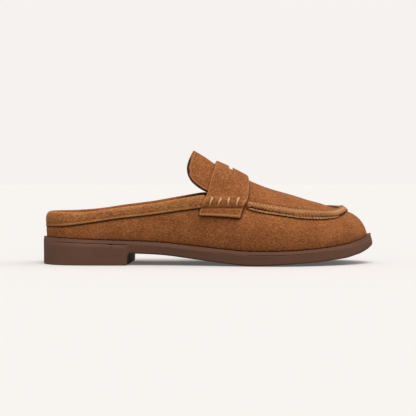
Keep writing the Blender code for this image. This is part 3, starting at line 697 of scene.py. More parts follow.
upper_bm = smoothed("upper", 2, crease=0.9, hold=1.0)
upper_bm.normal_update()
for face in upper_bm.faces:
    middle = face.calc_center_median()
    line = Vector((max(-FOOT_LINE_END, min(FOOT_LINE_END, middle.x)), 0.0, FOOT_LINE_HEIGHT))
    face.material_index = 1 if face.normal.dot(middle - line) < 0 else 0
outside = {edge for face in upper_bm.faces if face.material_index == 0 for edge in face.edges}
bmesh.ops.subdivide_edges(upper_bm, edges=list(outside), cuts=1, use_grid_fill=True)
print("upper:", len(upper_bm.faces), "faces, finer on the outside")

# %% [markdown]
# Worn or not, leather that was pulled over a last keeps a few soft folds where it turns under the
# strap and where the foot will bend. Each is a short line with a width and a depth: the surface
# sinks along it, and rises a little beside it. The inner side gets its own, a little shifted.

# %% Soft folds
# Start and end of each fold in millimetres along the shoe and over the floor, its width and
# depth, and the side it is on
FOLDS = [
    ((38.0, 45.0), (52.0, 31.0), 7.0, 0.35, -1),
    ((48.0, 44.0), (64.0, 33.0), 8.0, 0.28, -1),
    ((66.0, 38.0), (84.0, 29.0), 9.0, 0.22, -1),
    ((-6.0, 36.0), (14.0, 32.0), 8.0, 0.30, -1),
    ((-40.0, 34.0), (-14.0, 30.0), 9.0, 0.28, -1),
    ((-108.0, 27.0), (-84.0, 26.0), 8.0, 0.22, -1),
    ((36.0, 44.0), (54.0, 30.0), 8.0, 0.32, 1),
    ((60.0, 40.0), (80.0, 29.0), 9.0, 0.24, 1),
    ((-36.0, 34.0), (-8.0, 30.0), 9.0, 0.28, 1),
]


def fold_depth(place, start, end, width):
    """How deep a place lies in a fold: 1 on its line, below 0 on the low ridges beside it."""
    run = (end[0] - start[0], end[1] - start[1])
    length = run[0] ** 2 + run[1] ** 2
    share = ((place[0] - start[0]) * run[0] + (place[1] - start[1]) * run[1]) / length
    share = min(max(share, 0.0), 1.0)
    nearest = (start[0] + run[0] * share, start[1] + run[1] * share)
    far = math.hypot(place[0] - nearest[0], place[1] - nearest[1]) / width
    fade = math.sin(math.pi * (0.1 + 0.8 * share))
    return fade * math.exp(-4 * far**2) * (1 - 3.2 * far**2)


print("folds to press in:", len(FOLDS))

# %% [markdown]
# A few broad forms go in with the folds. Foam makes the heel fuller half way up, the toe reaches
# a little further, and the apron sinks just behind the front of the roll and swells behind that.

# %% Folds, heel and apron
# The heel is a little fuller half way up than the frame's solid
HEEL_CENTRE = Vector((-100.0, 0.0, 0.0)) * MM
HEEL_FADE = 20 * MM
HEEL_LOW = 25.0
HEEL_SPAN = 14.0
HEEL_SWELL = 0.5 * MM
# The apron sinks a little behind the front of the roll
DIP_AT = Vector((103.0, -2.0, 40.0)) * MM
DIP_LENGTH = 5 * MM
DIP_WIDTH = 16 * MM
DIP_DEPTH = 1.6 * MM
APRON_LOW = DIP_AT.z - 8 * MM
SWELL_AT = Vector((92.0, 0.0, 40.0)) * MM
SWELL_LENGTH = 7 * MM
SWELL_HEIGHT = 0.4 * MM
TOE_START = 108 * MM
TOE_PUSH = 0.045


def mound(place, centre, length):
    """A soft form in plan, 1 at its centre and fading along and across the shoe."""
    along = (place.x - centre.x) / length
    across = (place.y - centre.y) / DIP_WIDTH
    return math.exp(-(along**2) - across**2)


upper_bm.normal_update()
for vert in upper_bm.verts:
    side = -1 if vert.co.y < 0 else 1
    place = (vert.co.x / MM, vert.co.z / MM)
    sink = sum(
        depth * fold_depth(place, start, end, width)
        for start, end, width, depth, on in FOLDS
        if on == side
    )
    if sink:
        outward = Vector((0.0, side, 0.0))
        vert.co -= outward * sink * MM
    if vert.co.z > APRON_LOW:
        dip = DIP_DEPTH * mound(vert.co, DIP_AT, DIP_LENGTH)
        vert.co.z += SWELL_HEIGHT * mound(vert.co, SWELL_AT, SWELL_LENGTH) - dip
    vert.co.x += TOE_PUSH * max(vert.co.x - TOE_START, 0.0)
    if vert.co.x < HEEL_CENTRE.x:
        outward = vert.co - HEEL_CENTRE
        outward.z = 0.0
        swell = math.sin(math.pi * min(max((place[1] - HEEL_LOW) / HEEL_SPAN, 0.0), 1.0))
        fade = min((HEEL_CENTRE.x - vert.co.x) / HEEL_FADE, 1.0)
        vert.co += outward.normalized() * HEEL_SWELL * swell * fade
upper = add_piece("upper_suede", upper_bm, [caramel, lining_leather], "upper", "upper")
print("upper:", len(upper.data.vertices), "points shaped")

# %% [markdown]
# The binding folds over the topline. The half that looks inwards gets a darker copy of the suede,
# which paints the shade inside the collar. The lowest points of its sections make the rail that its
# ridge, its groove and its stitches follow.

# %% Collar binding
LOOKS_IN = -0.5
COLLAR_TURNS = np.arange(-80.0, 80.5, 2.0)
RAIL_STEP = 1.0 * MM
RAIL_SOFTNESS = 4

band_bm = smoothed("collar_band", 3)
band_bm.normal_update()
for face in band_bm.faces:
    middle = face.calc_center_median()
    line = Vector((max(-FOOT_LINE_END, middle.x), 0.0, middle.z))
    face.material_index = 1 if face.normal.dot((middle - line).normalized()) < LOOKS_IN else 0
band = add_piece("collar_folded", band_bm, [binding_suede, shaded_inner_suede], "binding", "collar_band")
sections = fan(band.data, (0.0, 0.0, 0.0), (0.0, 0.0, 1.0), (-1.0, 0.0, 0.0), COLLAR_TURNS)
lows = [part[part[:, 2].argmin()] for part in sections if len(part)]
tops = [part[part[:, 2].argmax()] for part in sections if len(part)]
band_edge = evened(lows, RAIL_STEP, RAIL_SOFTNESS)
band_top = evened(tops, RAIL_STEP, RAIL_SOFTNESS)
print(f"binding: {len(band.data.polygons)} faces, an edge of {len(band_edge)} points")

# %% [markdown]
# The binding's lower edge is turned under and sewn down, so it ends in a small ridge, pinched at
# each stitch, with the row of stitches in a groove just over it. Foam pads it out above that,
# most at the heel, where its edge is tucked in.

# %% Ridge, groove and padding
SEAM_PITCH = 2.6 * MM
PINCH_LENGTH = 0.4 * MM
RIDGE_WIDTH = 1.5 * MM
RIDGE_HEIGHT = 0.25 * MM
GROOVE_UP = 2.1 * MM
GROOVE_WIDTH = 0.45 * MM
GROOVE_DEPTH = 0.28 * MM
# Along the shoe, how far the padding stands out, and a power that puts its fullest part high
PAD_X = np.array([-125.0, -100.0, -10.0, 0.0]) * MM
PAD_OUT = np.array([1.4, 0.9, 0.9, 0.0]) * MM
PAD_HIGH = 1.9
REAR_FROM = -115 * MM
REAR_FADE = 10 * MM
HEEL_TUCK = 0.6 * MM
TUCK_HEIGHT = 3 * MM

places = points_of(band.data)
run, index = along_rail(places, band_edge)
up = places[:, 2] - band_edge[index, 2]
band_middle = band_edge[:, :2].mean(axis=0)
out = places[:, :2] - band_middle
skin_normal = np.array([vert.normal for vert in band.data.vertices])
turned_out = (skin_normal[:, :2] * out).sum(axis=1) / np.linalg.norm(out, axis=1) * 2
facing = np.clip(turned_out, 0, 1)
ridge = np.where((up > 0) & (up < RIDGE_WIDTH), np.sin(np.pi * np.clip(up / RIDGE_WIDTH, 0, 1)), 0)
pinch = np.exp(-(((run % SEAM_PITCH) - SEAM_PITCH / 2) / PINCH_LENGTH) ** 2)
groove = np.exp(-(((up - GROOVE_UP) / GROOVE_WIDTH) ** 2))
_, top_index = along_rail(places, band_top)
share = np.clip(up / (band_top[top_index, 2] - band_edge[index, 2]), 0, 1)
puff = np.interp(places[:, 0], PAD_X, PAD_OUT) * np.sin(np.pi * share**PAD_HIGH)
rear = np.clip((REAR_FROM - places[:, 0]) / REAR_FADE, 0, 1)
tuck = HEEL_TUCK * rear * np.exp(-((up / TUCK_HEIGHT) ** 2))
rise = RIDGE_HEIGHT * ridge * (1 - 0.6 * pinch) * (1 - 0.6 * rear) - GROOVE_DEPTH * groove + puff - tuck
moved = places + skin_normal * (rise * facing)[:, None]
band.data.vertices.foreach_set("co", moved.astype(np.float32).ravel())
band.data.update()
print(f"collar seam: {run.max() / MM:.0f} mm, {int(run.max() / SEAM_PITCH)} stitches")

# %% [markdown]
# The groove and the pinches get painted shade, and the ridge and the top rim get painted
# highlights. Towards the strap the binding is painted darker as shade, most of all on its inward
# half.

# %% Shade of the binding
INNER_SHADE_FROM = -27 * MM
INNER_SHADE_FADE = 20 * MM
SIDE_SHADE = 0.26
SIDE_SHADE_FROM = -26 * MM
SIDE_SHADE_FADE = 22 * MM
RIM_AT = 0.93
RIM_WIDTH = 0.06

towards_strap = np.clip((places[:, 0] - INNER_SHADE_FROM) / INNER_SHADE_FADE, 0, 0.9)
shade = np.clip(-turned_out, 0, 1) * towards_strap
painted_side_shade = SIDE_SHADE * np.clip((places[:, 0] - SIDE_SHADE_FROM) / SIDE_SHADE_FADE, 0, 1)
# Painted shade: the groove, the pinches, the side towards the strap and the inward half there
dark = facing * (0.35 * groove + 0.3 * pinch * ridge + painted_side_shade) + shade
mark(band, "shade_and_dark_edges", np.clip(dark, 0, 1))
top_rim = np.exp(-(((share - RIM_AT) / RIM_WIDTH) ** 2))
# Painted highlights: the ridge, the top rim and tight edges
pale = (0.55 * ridge + 0.5 * top_rim) * facing + 0.4 * bend_of(band)
mark(band, "painted_highlight", np.clip(pale, 0, 1))
print("binding: palest", round(float(pale.max()), 2), "darkest", round(float(dark.max()), 2))

# %% [markdown]
# The stitches lie in the groove. A ray from outside the shoe, aimed at the groove's height over
# the rail, finds the leather under each of them.

# %% Collar stitches
AIM_FROM = 5 * MM
STITCH_SIZE = (2.0 * MM, 0.55 * MM, 0.5 * MM)


def on_binding(place, height):
    """Place and normal on the binding, at a height over a point of its edge, and outwards there."""
    outward = Vector((place[0] - band_middle[0], place[1] - band_middle[1], 0.0)).normalized()
    aim = Vector(place) + Vector((0.0, 0.0, height)) + outward * AIM_FROM
    spot, normal, _, _ = band_skin.ray_cast(aim, -outward)
    return spot, normal, outward


band_skin = skin_of(band)
collar_seam = bmesh.new()
spaced = evened(band_edge, SEAM_PITCH, 0)
for place, after in zip(spaced[1:-1], spaced[2:]):
    spot, normal, _ = on_binding(place, GROOVE_UP)
    if spot:
        add_grain(collar_seam, spot, after - place, normal, *STITCH_SIZE)
collar_stitches = add_piece("collar_stitches", collar_seam, [tan_thread], "binding")
print("collar stitches:", len(collar_stitches.data.polygons), "faces")

# %% [markdown]
# The moccasin seam is a soft roll of leather whipped over with thread. Rails through the middle,
# the lip and the top of its sections tell where it runs on the frame's solid.

# %% Rails of the roll
ROLL_PIVOT = (31.0 * MM, 0.0, 40.0 * MM)
ROLL_TURNS = np.arange(-86.0, 86.5, 2.0)

guide = bpy.data.meshes.new("roll_guide")
smoothed("apron_roll", 1).to_mesh(guide)
sections = fan(guide, ROLL_PIVOT, (0.0, 0.0, 1.0), (1.0, 0.0, 0.0), ROLL_TURNS)
sections = [part for part in sections if len(part)]
rest_middle = evened([part.mean(axis=0) for part in sections], RAIL_STEP, RAIL_SOFTNESS)
rest_edge = evened([part[part[:, 2].argmin()] for part in sections], RAIL_STEP, RAIL_SOFTNESS)
rest_top = evened([part[part[:, 2].argmax()] for part in sections], RAIL_STEP, RAIL_SOFTNESS)
print("roll:", len(sections), "sections")

# %% [markdown]
# In the picture the seam lies a little lower than on the solid, and leans with the wall. A table
# along the shoe settles each place of the roll by its height between the lip and the top.

# %% Where the seam lies
# Along the shoe: how far the lip and the top of the roll lie below the frame's solid, and how
# much the wall there leans
SETTLE_X = np.array([30.0, 47.0, 63.0, 72.0, 84.0, 96.0, 108.0]) * MM
SETTLE_LIP = np.array([-1.0, 0.6, 1.3, 1.6, 1.0, 0.1, 0.0]) * MM
SETTLE_TOP = np.array([2.0, 2.3, 2.6, 2.3, 1.2, 0.0, 0.0]) * MM
SETTLE_LEAN = [0.45, 0.65, 0.9, 1.1, 1.4, 1.6, 1.6]
# On the inner side the front of the roll stands a little higher
FAR_LIFT_AT = 97 * MM
FAR_LIFT_LENGTH = 9 * MM
FAR_LIFT = 0.6 * MM


def settled(places):
    """Places on the roll, moved to where the seam lies in the picture."""
    _, low = along_rail(places, rest_edge)
    _, high = along_rail(places, rest_top)
    span = rest_top[high, 2] - rest_edge[low, 2]
    share = np.clip((places[:, 2] - rest_edge[low, 2]) / span, 0, 1)
    x = places[:, 0]
    lip = np.interp(x, SETTLE_X, SETTLE_LIP)
    drop = lip + (np.interp(x, SETTLE_X, SETTLE_TOP) - lip) * share
    lean = np.interp(x, SETTLE_X, SETTLE_LEAN)
    far_side = (places[:, 1] > 0) * np.exp(-(((x - FAR_LIFT_AT) / FAR_LIFT_LENGTH) ** 2))
    result = places.copy()
    result[:, 2] += FAR_LIFT * far_side - drop
    result[:, 1] += np.sign(places[:, 1]) * lip * lean * (1 - share)
    return result


roll_middle = settled(rest_middle)
roll_edge = settled(rest_edge)
print(f"seam settled by up to {SETTLE_TOP.max() / MM:.1f} mm")

# %% [markdown]
# At the toe the lip thins out, so its places are drawn towards the middle of the roll. On the
# inner side the underside is pressed down until it meets the leather. Then the copy is cut much
# finer along its length, so that ribs can be pressed into it.

# %% Apron roll
HOLE_UP = 2.3 * MM
LIP_FADES = 94 * MM
LIP_ENDS = 108 * MM
LIP_DRAW = 0.28
END_FROM = 106 * MM
END_FADE = 8 * MM
END_DRAW = 0.3
DRAW_FADE = 1.2 * MM
# How far an underside's normal may point up, and how far down the leather may lie from it
UNDERSIDE = 0.3
PRESS_REACH = 3 * MM
PRESS_IN = 0.2 * MM
RIB_CUTS = 6
LENGTHWISE = 0.8

roll_bm = smoothed("apron_roll", 2)
spots = settled(np.array([vert.co for vert in roll_bm.verts], float))
_, low = along_rail(spots, roll_edge)
_, near = along_rail(spots, roll_middle)
up = np.linalg.norm(spots - roll_edge[low], axis=1)
thin = np.clip((spots[:, 0] - LIP_FADES) / (LIP_ENDS - LIP_FADES), 0, 1)
ended = np.clip((spots[:, 0] - END_FROM) / END_FADE, 0, 1)
draw = (LIP_DRAW * thin + END_DRAW * ended) * np.clip((HOLE_UP - up) / DRAW_FADE, 0, 1)
spots += (roll_middle[near] - spots) * draw[:, None]
roll_bm.normal_update()
upper_skin = skin_of(upper)
for vert, spot in zip(roll_bm.verts, spots):
    if spot[1] > 0 and vert.normal.z < UNDERSIDE:
        hit, _, _, gap = upper_skin.ray_cast(Vector(spot), Vector((0.0, 0.0, -1.0)))
        if hit and gap < PRESS_REACH:
            spot[2] -= gap + PRESS_IN
    vert.co = spot
ways = np.diff(roll_middle, axis=0)
ways /= np.linalg.norm(ways, axis=1)[:, None]
centres = np.array([(edge.verts[0].co + edge.verts[1].co) / 2 for edge in roll_bm.edges])
_, near = along_rail(centres, roll_middle)
long_edges = []
for edge, way in zip(list(roll_bm.edges), ways[near]):
    step = edge.verts[1].co - edge.verts[0].co
    if abs(step.dot(Vector(way))) > LENGTHWISE * step.length:
        long_edges.append(edge)
bmesh.ops.subdivide_edges(roll_bm, edges=long_edges, cuts=RIB_CUTS, use_grid_fill=True)
roll = add_piece("roll_stitched", roll_bm, [roll_suede], "roll", "apron_roll")
print("roll:", len(roll.data.polygons), "faces")

# %% [markdown]
# The thread presses slanted ribs into the roll and pulls two rows of small holes open under it,
# over a narrow lip. Each place on the roll has a run along its middle and a turn round it, which
# are all that such a pattern needs.

# %% Ribs and holes of the roll
RIB_PITCH = 2.65 * MM
RIB_HEIGHT = 0.22 * MM
RIB_SLANT = 1.5
# The turns between which the ribs lie, in radians from straight outwards
RIBS_FROM = -0.95
RIBS_TO = 2.6
HOLE_DEPTH = 0.6 * MM
HOLE_HEIGHT = 0.5 * MM
HOLE_LENGTH = 0.7 * MM
SECOND_UP = 3.7 * MM
SECOND_LENGTH = 0.5 * MM
SECOND_DEPTH = 0.5
OUTER_FROM = -0.5 * MM

places = points_of(roll.data)
run, index = along_rail(places, roll_middle)
_, low_index = along_rail(places, roll_edge)
up = np.linalg.norm(places - roll_edge[low_index], axis=1)
away = places - roll_middle[index]
sideways = np.stack([ways[index][:, 1], -ways[index][:, 0]], axis=1)
sideways /= np.linalg.norm(sideways, axis=1)[:, None]
outward = (away[:, :2] * sideways).sum(axis=1)
turn = np.arctan2(away[:, 2], outward)
skin_normal = np.array([vert.normal for vert in roll.data.vertices])
window = np.clip((turn - RIBS_FROM) / 0.3, 0, 1) * np.clip((RIBS_TO - turn) / 0.4, 0, 1)
rib = 0.5 + 0.5 * np.cos(2 * np.pi * run / RIB_PITCH + RIB_SLANT * 2 * turn)
hole_row = np.exp(-(((up - HOLE_UP) / HOLE_HEIGHT) ** 2)) * (outward > 0)
from_hole = (run % RIB_PITCH) - RIB_PITCH / 2
hole = hole_row * np.exp(-((from_hole / HOLE_LENGTH) ** 2))
outer_side = outward > OUTER_FROM
second_row = np.exp(-(((up - SECOND_UP) / HOLE_HEIGHT) ** 2)) * outer_side
from_second = (run + RIB_PITCH / 2) % RIB_PITCH - RIB_PITCH / 2
second = second_row * np.exp(-((from_second / SECOND_LENGTH) ** 2))
rise = RIB_HEIGHT * (rib - 0.5) * window - HOLE_DEPTH * (hole + SECOND_DEPTH * second)
moved = places + skin_normal * rise[:, None]
roll.data.vertices.foreach_set("co", moved.astype(np.float32).ravel())
roll.data.update()
print(f"roll: {run.max() / MM:.0f} mm, {int(run.max() / RIB_PITCH)} ribs")

# %% [markdown]
# The holes and the hollows between the ribs get painted shade. The crest of each rib gets a
# painted highlight, and so does the front of the roll, while its inner flank at the toe gets
# painted shade.

# %% Shade of the roll
FLANK_FROM = 80 * MM
FLANK_FADE = 12 * MM
FLANK_WIDTH = 1 * MM
FRONT_FROM = 95 * MM
FRONT_FADE = 10 * MM
CREST_AT = 1.2
CREST_WIDTH = 0.5

at_flank = np.clip((places[:, 0] - FLANK_FROM) / FLANK_FADE, 0, 1)
inner_flank = np.clip(-outward / FLANK_WIDTH, 0, 1) * at_flank
# Painted shade: holes, hollows between the ribs and the inner flank at the toe
dark = hole + 0.45 * hole_row + 0.6 * second + 0.32 * (1 - rib) * window + 0.35 * inner_flank
mark(roll, "shade_and_dark_edges", np.clip(dark, 0, 1))
crest = np.exp(-(((turn - CREST_AT) / CREST_WIDTH) ** 2))
front = np.clip((places[:, 0] - FRONT_FROM) / FRONT_FADE, 0, 1)
# Painted highlights: rib crests and the front of the roll
pale = (0.3 + 0.5 * crest) * rib * window + 0.6 * front * window
mark(roll, "painted_highlight", np.clip(pale, 0, 1))
print("roll: palest", round(float(pale.max()), 2), "darkest", round(float(dark.max()), 2))

# %% [markdown]
# The tongue is two leathers, sewn and turned: suede outside and a dark lining inside, whose edge
# shows behind the suede's own. Its faces that look out are suede, and the rim and the inner side
# are lining. A table draws its rear edge in to the line that the picture shows.

# %% Tongue
TONGUE_AXIS = Vector((0.0, -4.0, 52.0)) * MM
TONGUE_CROWN = 87.5 * MM
# Heights, and how far the rear edge is drawn in there, fading towards the strap
TONGUE_Z = np.array([62.0, 64.5, 67.0, 70.0, 72.0, 74.5, 78.0, 83.5, 89.0]) * MM
TONGUE_DRAWN = np.array([2.4, 2.6, 2.4, 2.2, 1.7, 1.3, 0.6, 0.0, -0.4]) * MM
TONGUE_FADE = 34 * MM
SUEDE_OUT = 0.55
ROLLED_OVER = -0.5

tongue_bm = smoothed("tongue", 3, hold=0.8)
tongue_bm.normal_update()
for face in tongue_bm.faces:
    middle = face.calc_center_median()
    radial = Vector((0.0, middle.y - TONGUE_AXIS.y, middle.z - TONGUE_AXIS.z)).normalized()
    turned_over = middle.z > TONGUE_CROWN and face.normal.dot(radial) > ROLLED_OVER
    face.material_index = 0 if face.normal.dot(radial) > SUEDE_OUT or turned_over else 1
tongue_far = edge_distance([vert.co for vert in tongue_bm.verts], "tongue")
rear = min(vert.co.x for vert in tongue_bm.verts)
for vert in tongue_bm.verts:
    fade = min(max(1 - (vert.co.x - rear) / TONGUE_FADE, 0.0), 1.0)
    vert.co.x += np.interp(vert.co.z, TONGUE_Z, TONGUE_DRAWN) * fade
tongue = add_piece("tongue_bound", tongue_bm, [shaded_strap_suede, tongue_lining], "tongue", "tongue")
print("tongue:", len(tongue.data.polygons), "faces")

# %% [markdown]
# A dark lining edge, darkened to near black partly as painted shade, then a fold with a painted
# highlight, then a seam run round the tongue's edge at set distances from it.
# The stitches of the seam are laid along its rim, and rays towards the tongue's axis set them
# down on the suede.

# %% Edge of the tongue
RIM_DARK = 1.3 * MM
RIM_FADE = 0.4 * MM
FOLD_AT = 2.0 * MM
SEAM_AT = 3.2 * MM
LINE_WIDTH = 0.5 * MM
CROWN_FADE = 3 * MM
TONGUE_TURNS = np.arange(-74.0, 74.5, 2.0)
TONGUE_PITCH = 2.4 * MM
RIM_STEP = 0.8 * MM
TONGUE_STITCH = (1.7 * MM, 0.5 * MM, 0.4 * MM)
OVER_TONGUE = 20 * MM

sections = fan(tongue.data, tuple(TONGUE_AXIS), (1.0, 0.0, 0.0), (0.0, 0.0, 1.0), TONGUE_TURNS)
rim = evened([part[part[:, 0].argmin()] for part in sections if len(part)], RIM_STEP, 3)
fold = np.exp(-(((tongue_far - FOLD_AT) / LINE_WIDTH) ** 2))
seam = np.exp(-(((tongue_far - SEAM_AT) / LINE_WIDTH) ** 2))
below_crown = np.clip((TONGUE_CROWN - points_of(tongue.data)[:, 2]) / CROWN_FADE, 0, 1)
lining_edge = np.clip((RIM_DARK - tongue_far) / RIM_FADE, 0, 0.9) * below_crown
# Near-black rim: the lining's own dark edge and painted shade; the seam line is darkened too
mark(tongue, "shade_and_dark_edges", lining_edge + 0.3 * seam)
# Painted highlight along the fold
mark(tongue, "painted_highlight", 0.9 * fold)
tongue_skin = skin_of(tongue)


def on_tongue(point, inset):
    """Place and normal on the tongue's outer face, a little in from its rim."""
    start = Vector(point) + Vector((inset, 0.0, 0.0))
    radial = Vector((0.0, start.y - TONGUE_AXIS.y, start.z - TONGUE_AXIS.z)).normalized()
    spot, normal, _, _ = tongue_skin.ray_cast(start + radial * OVER_TONGUE, -radial)
    return spot, normal


tongue_seam = bmesh.new()
stitched = evened(rim, TONGUE_PITCH, 0)
for before, after in zip(stitched, stitched[1:]):
    spot, normal = on_tongue(before, SEAM_AT)
    if spot:
        add_grain(tongue_seam, spot, after - before, normal, *TONGUE_STITCH)
tongue_stitches = add_piece("tongue_stitches", tongue_seam, [tan_thread], "tongue")
print(f"tongue rim: {len(rim)} points, {len(stitched) - 1} stitches")

# %% [markdown]
# The saddle strap crosses the instep. Under its padded roll it ends in a flat flap, which tables
# along the shoe lift until it runs level, as in the picture.

# %% Strap
# The lower end of the strap: where it and the groove over it lie at the rear and the front edge,
# and how far the front is lifted to run level
FLAP_X = np.array([-5.0, 27.0]) * MM
FLAP_LOW = np.array([40.3, 37.6]) * MM
FLAP_GROOVE = np.array([47.4, 44.1]) * MM
FLAP_TOP = 54.4 * MM
LIFT_LOW = np.array([0.0, 1.35]) * MM
LIFT_GROOVE = np.array([-1.0, 2.7]) * MM
WALL_LEAN = 0.5

strap_bm = smoothed("strap", 3, crease=0.2)
strap_far = edge_distance([vert.co for vert in strap_bm.verts], "strap")
for vert in strap_bm.verts:
    x, y, z = vert.co
    levels = [np.interp(x, FLAP_X, row) for row in (FLAP_LOW, FLAP_GROOVE)]
    lifts = [np.interp(x, FLAP_X, row) for row in (LIFT_LOW, LIFT_GROOVE)]
    lift = np.interp(z, levels + [FLAP_TOP], lifts + [0.0])
    vert.co.z += lift
    vert.co.y -= math.copysign(WALL_LEAN * lift, y)
strap = add_piece("strap_saddle", strap_bm, [shaded_strap_suede], "strap", "strap")
strap_skin = skin_of(strap)
print("strap:", len(strap.data.polygons), "faces")

# %% [markdown]
# At each end the strap is rolled over a core and whipped down with four cream stitches, which
# pull the roll into soft pillows. Where each stitch starts and ends was read off the picture, in
# pixels. A line of sight finds that place on the strap itself, and the inner side is its twin.

# %% Pillows between the stitches
WHIP_PIXELS = [
    ((212.4, 197.4), (209.9, 204.9)),
    ((220.9, 198.2), (218.2, 205.0)),
    ((229.0, 197.8), (227.8, 204.8)),
    ((238.8, 197.6), (236.2, 204.8)),
]
PILLOW_DEPTH = 1.1 * MM
PILLOW_WIDTH = 1.3 * MM


def on_strap(pixel):
    """Place on the strap's outer side that a pixel shows."""
    return strap_skin.ray_cast(EYE, sight(*pixel))[0]


whips = [(on_strap(top), on_strap(bottom)) for top, bottom in WHIP_PIXELS]
places = points_of(strap.data)
skin_normal = np.array([vert.normal for vert in strap.data.vertices])
sink = np.zeros(len(places))
for top, bottom in whips:
    lean = (places[:, 2] - bottom.z) / (top.z - bottom.z)
    line_x = bottom.x + (top.x - bottom.x) * np.clip(lean, 0, 1)
    within = np.clip((lean + 0.25) / 0.3, 0, 1) * np.clip((1.25 - lean) / 0.3, 0, 1)
    sink += within * np.exp(-(((places[:, 0] - line_x) / PILLOW_WIDTH) ** 2))
on_face = np.clip(np.abs(skin_normal[:, 1]) * 2 - 0.4, 0, 1) * (places[:, 1] * skin_normal[:, 1] > 0)
moved = places - skin_normal * (PILLOW_DEPTH * sink * on_face)[:, None]
strap.data.vertices.foreach_set("co", moved.astype(np.float32).ravel())
strap.data.update()
print("whip stitches start at", [round(top.x / MM, 1) for top, _ in whips], "mm along the shoe")

# %% [markdown]
# Painted highlights and painted shade finish the strap: a highlight along the edge all round,
# highlights on the rims over and under each pillow, on the slot's edge, the rear edge and the
# flap's ends, and shade in the slot, under the roll, in the pillows' hollow and beside each
# stitch. Those that the picture shows by themselves lie between two of its pixels.

# %% Shade of the strap
EDGE_UP = 0.6 * MM
EDGE_WIDTH = 0.6 * MM
UPPER_RIM_UP = 0.5 * MM
UPPER_RIM_WIDTH = 0.7 * MM
LOWER_RIM_DOWN = 0.6 * MM
LOWER_RIM_WIDTH = 0.6 * MM
HOLLOW_AT = 0.4
HOLLOW_WIDTH = 0.45
BEHIND_WHIPS = 3 * MM
BEFORE_WHIPS = 2 * MM
# Two pixels and a width for each line
SLOT_DARK = (((227.8, 172.6), (232.2, 176.6)), 0.6 * MM)
SLOT_LIGHT = (((229.6, 172.6), (233.6, 175.9)), 0.5 * MM)
UNDER_ROLL = (((203.0, 208.0), (242.0, 207.0)), 0.9 * MM)
REAR_EDGE = (((207.4, 191.5), (201.0, 208.8)), 0.5 * MM)
REAR_FLAP_END = (((207.7, 208.8), (207.0, 214.3)), 0.4 * MM)
FRONT_FLAP_END = (((242.0, 208.5), (241.3, 212.5)), 0.4 * MM)


def near_line(pixels, width):
    """How near each vertex of the strap lies to a line between two pixels."""
    line = np.array([on_strap(pixel) for pixel in pixels])
    share = np.clip((places - line[0]) @ (line[1] - line[0]) / np.sum((line[1] - line[0]) ** 2), 0, 1)
    gap = np.linalg.norm(places - line[0] - share[:, None] * (line[1] - line[0]), axis=1)
    return np.exp(-((gap / width) ** 2))


first_top, first_bottom = whips[0]
last_top = whips[-1][0]
x, z = places[:, 0], places[:, 2]
between = (x > first_bottom.x - BEHIND_WHIPS) & (x < last_top.x + BEFORE_WHIPS)
upper_rim = np.exp(-(((z - first_top.z - UPPER_RIM_UP) / UPPER_RIM_WIDTH) ** 2))
lower_rim = np.exp(-(((z - first_bottom.z + LOWER_RIM_DOWN) / LOWER_RIM_WIDTH) ** 2))
puffs = between * on_face * (1 - np.clip(sink, 0, 1)) * (0.7 * upper_rim + 0.5 * lower_rim)
edge = np.exp(-(((strap_far - EDGE_UP) / EDGE_WIDTH) ** 2))
flap_ends = near_line(*REAR_FLAP_END) + near_line(*FRONT_FLAP_END)
height = (z - first_bottom.z) / (first_top.z - first_bottom.z)
hollow = between * on_face * np.exp(-(((height - HOLLOW_AT) / HOLLOW_WIDTH) ** 2))
# Painted shade: beside each stitch, in the slot, under the roll and in the pillows' hollow
dark = 0.45 * sink * on_face + 0.45 * near_line(*SLOT_DARK) + 0.35 * near_line(*UNDER_ROLL) + 0.14 * hollow
mark(strap, "shade_and_dark_edges", np.clip(dark, 0, 1))
# Painted highlights: the edge, the pillows' rims, the slot's edge, the rear edge and the flap's ends
pale = 0.85 * edge + puffs + 0.7 * near_line(*SLOT_LIGHT) + 0.6 * near_line(*REAR_EDGE) + 0.35 * flap_ends
mark(strap, "painted_highlight", np.clip(pale, 0, 1))
print("strap: palest", round(float(pale.max()), 2), "darkest", round(float(dark.max()), 2))

# %% [markdown]
# Each whip stitch is thick thread. It is drawn as a curve with a round bevel, a little
# thicker in its middle than at its ends, along points found on the pillows by rays from the side.

# %% Whip stitches
WHIP_RADIUS = 0.95 * MM
WHIP_STEPS = 8
WHIP_ROUNDNESS = 3
# Along a stitch, its thickness as a share of the radius
WHIP_SHARES = (0.0, 0.3, 0.6, 1.0)
WHIP_THICKNESS = (0.95, 1.15, 0.8, 0.55)
BESIDE_SHOE = 90 * MM


def whip_points(top, bottom, side):
    """Points of a stitch over the roll, on the outer side at -1 or the inner side at 1."""
    points = []
    for step in range(WHIP_STEPS + 1):
        share = step / WHIP_STEPS
        place = top.lerp(bottom, share)
        start = Vector((place.x, side * BESIDE_SHOE, place.z))
        spot, normal, _, _ = strap_skin.ray_cast(start, Vector((0.0, -side, 0.0)))
        lift = WHIP_RADIUS * (0.9 * math.sin(math.pi * share) ** 0.5 - 0.4)
        points.append(spot + normal * lift)
    return points


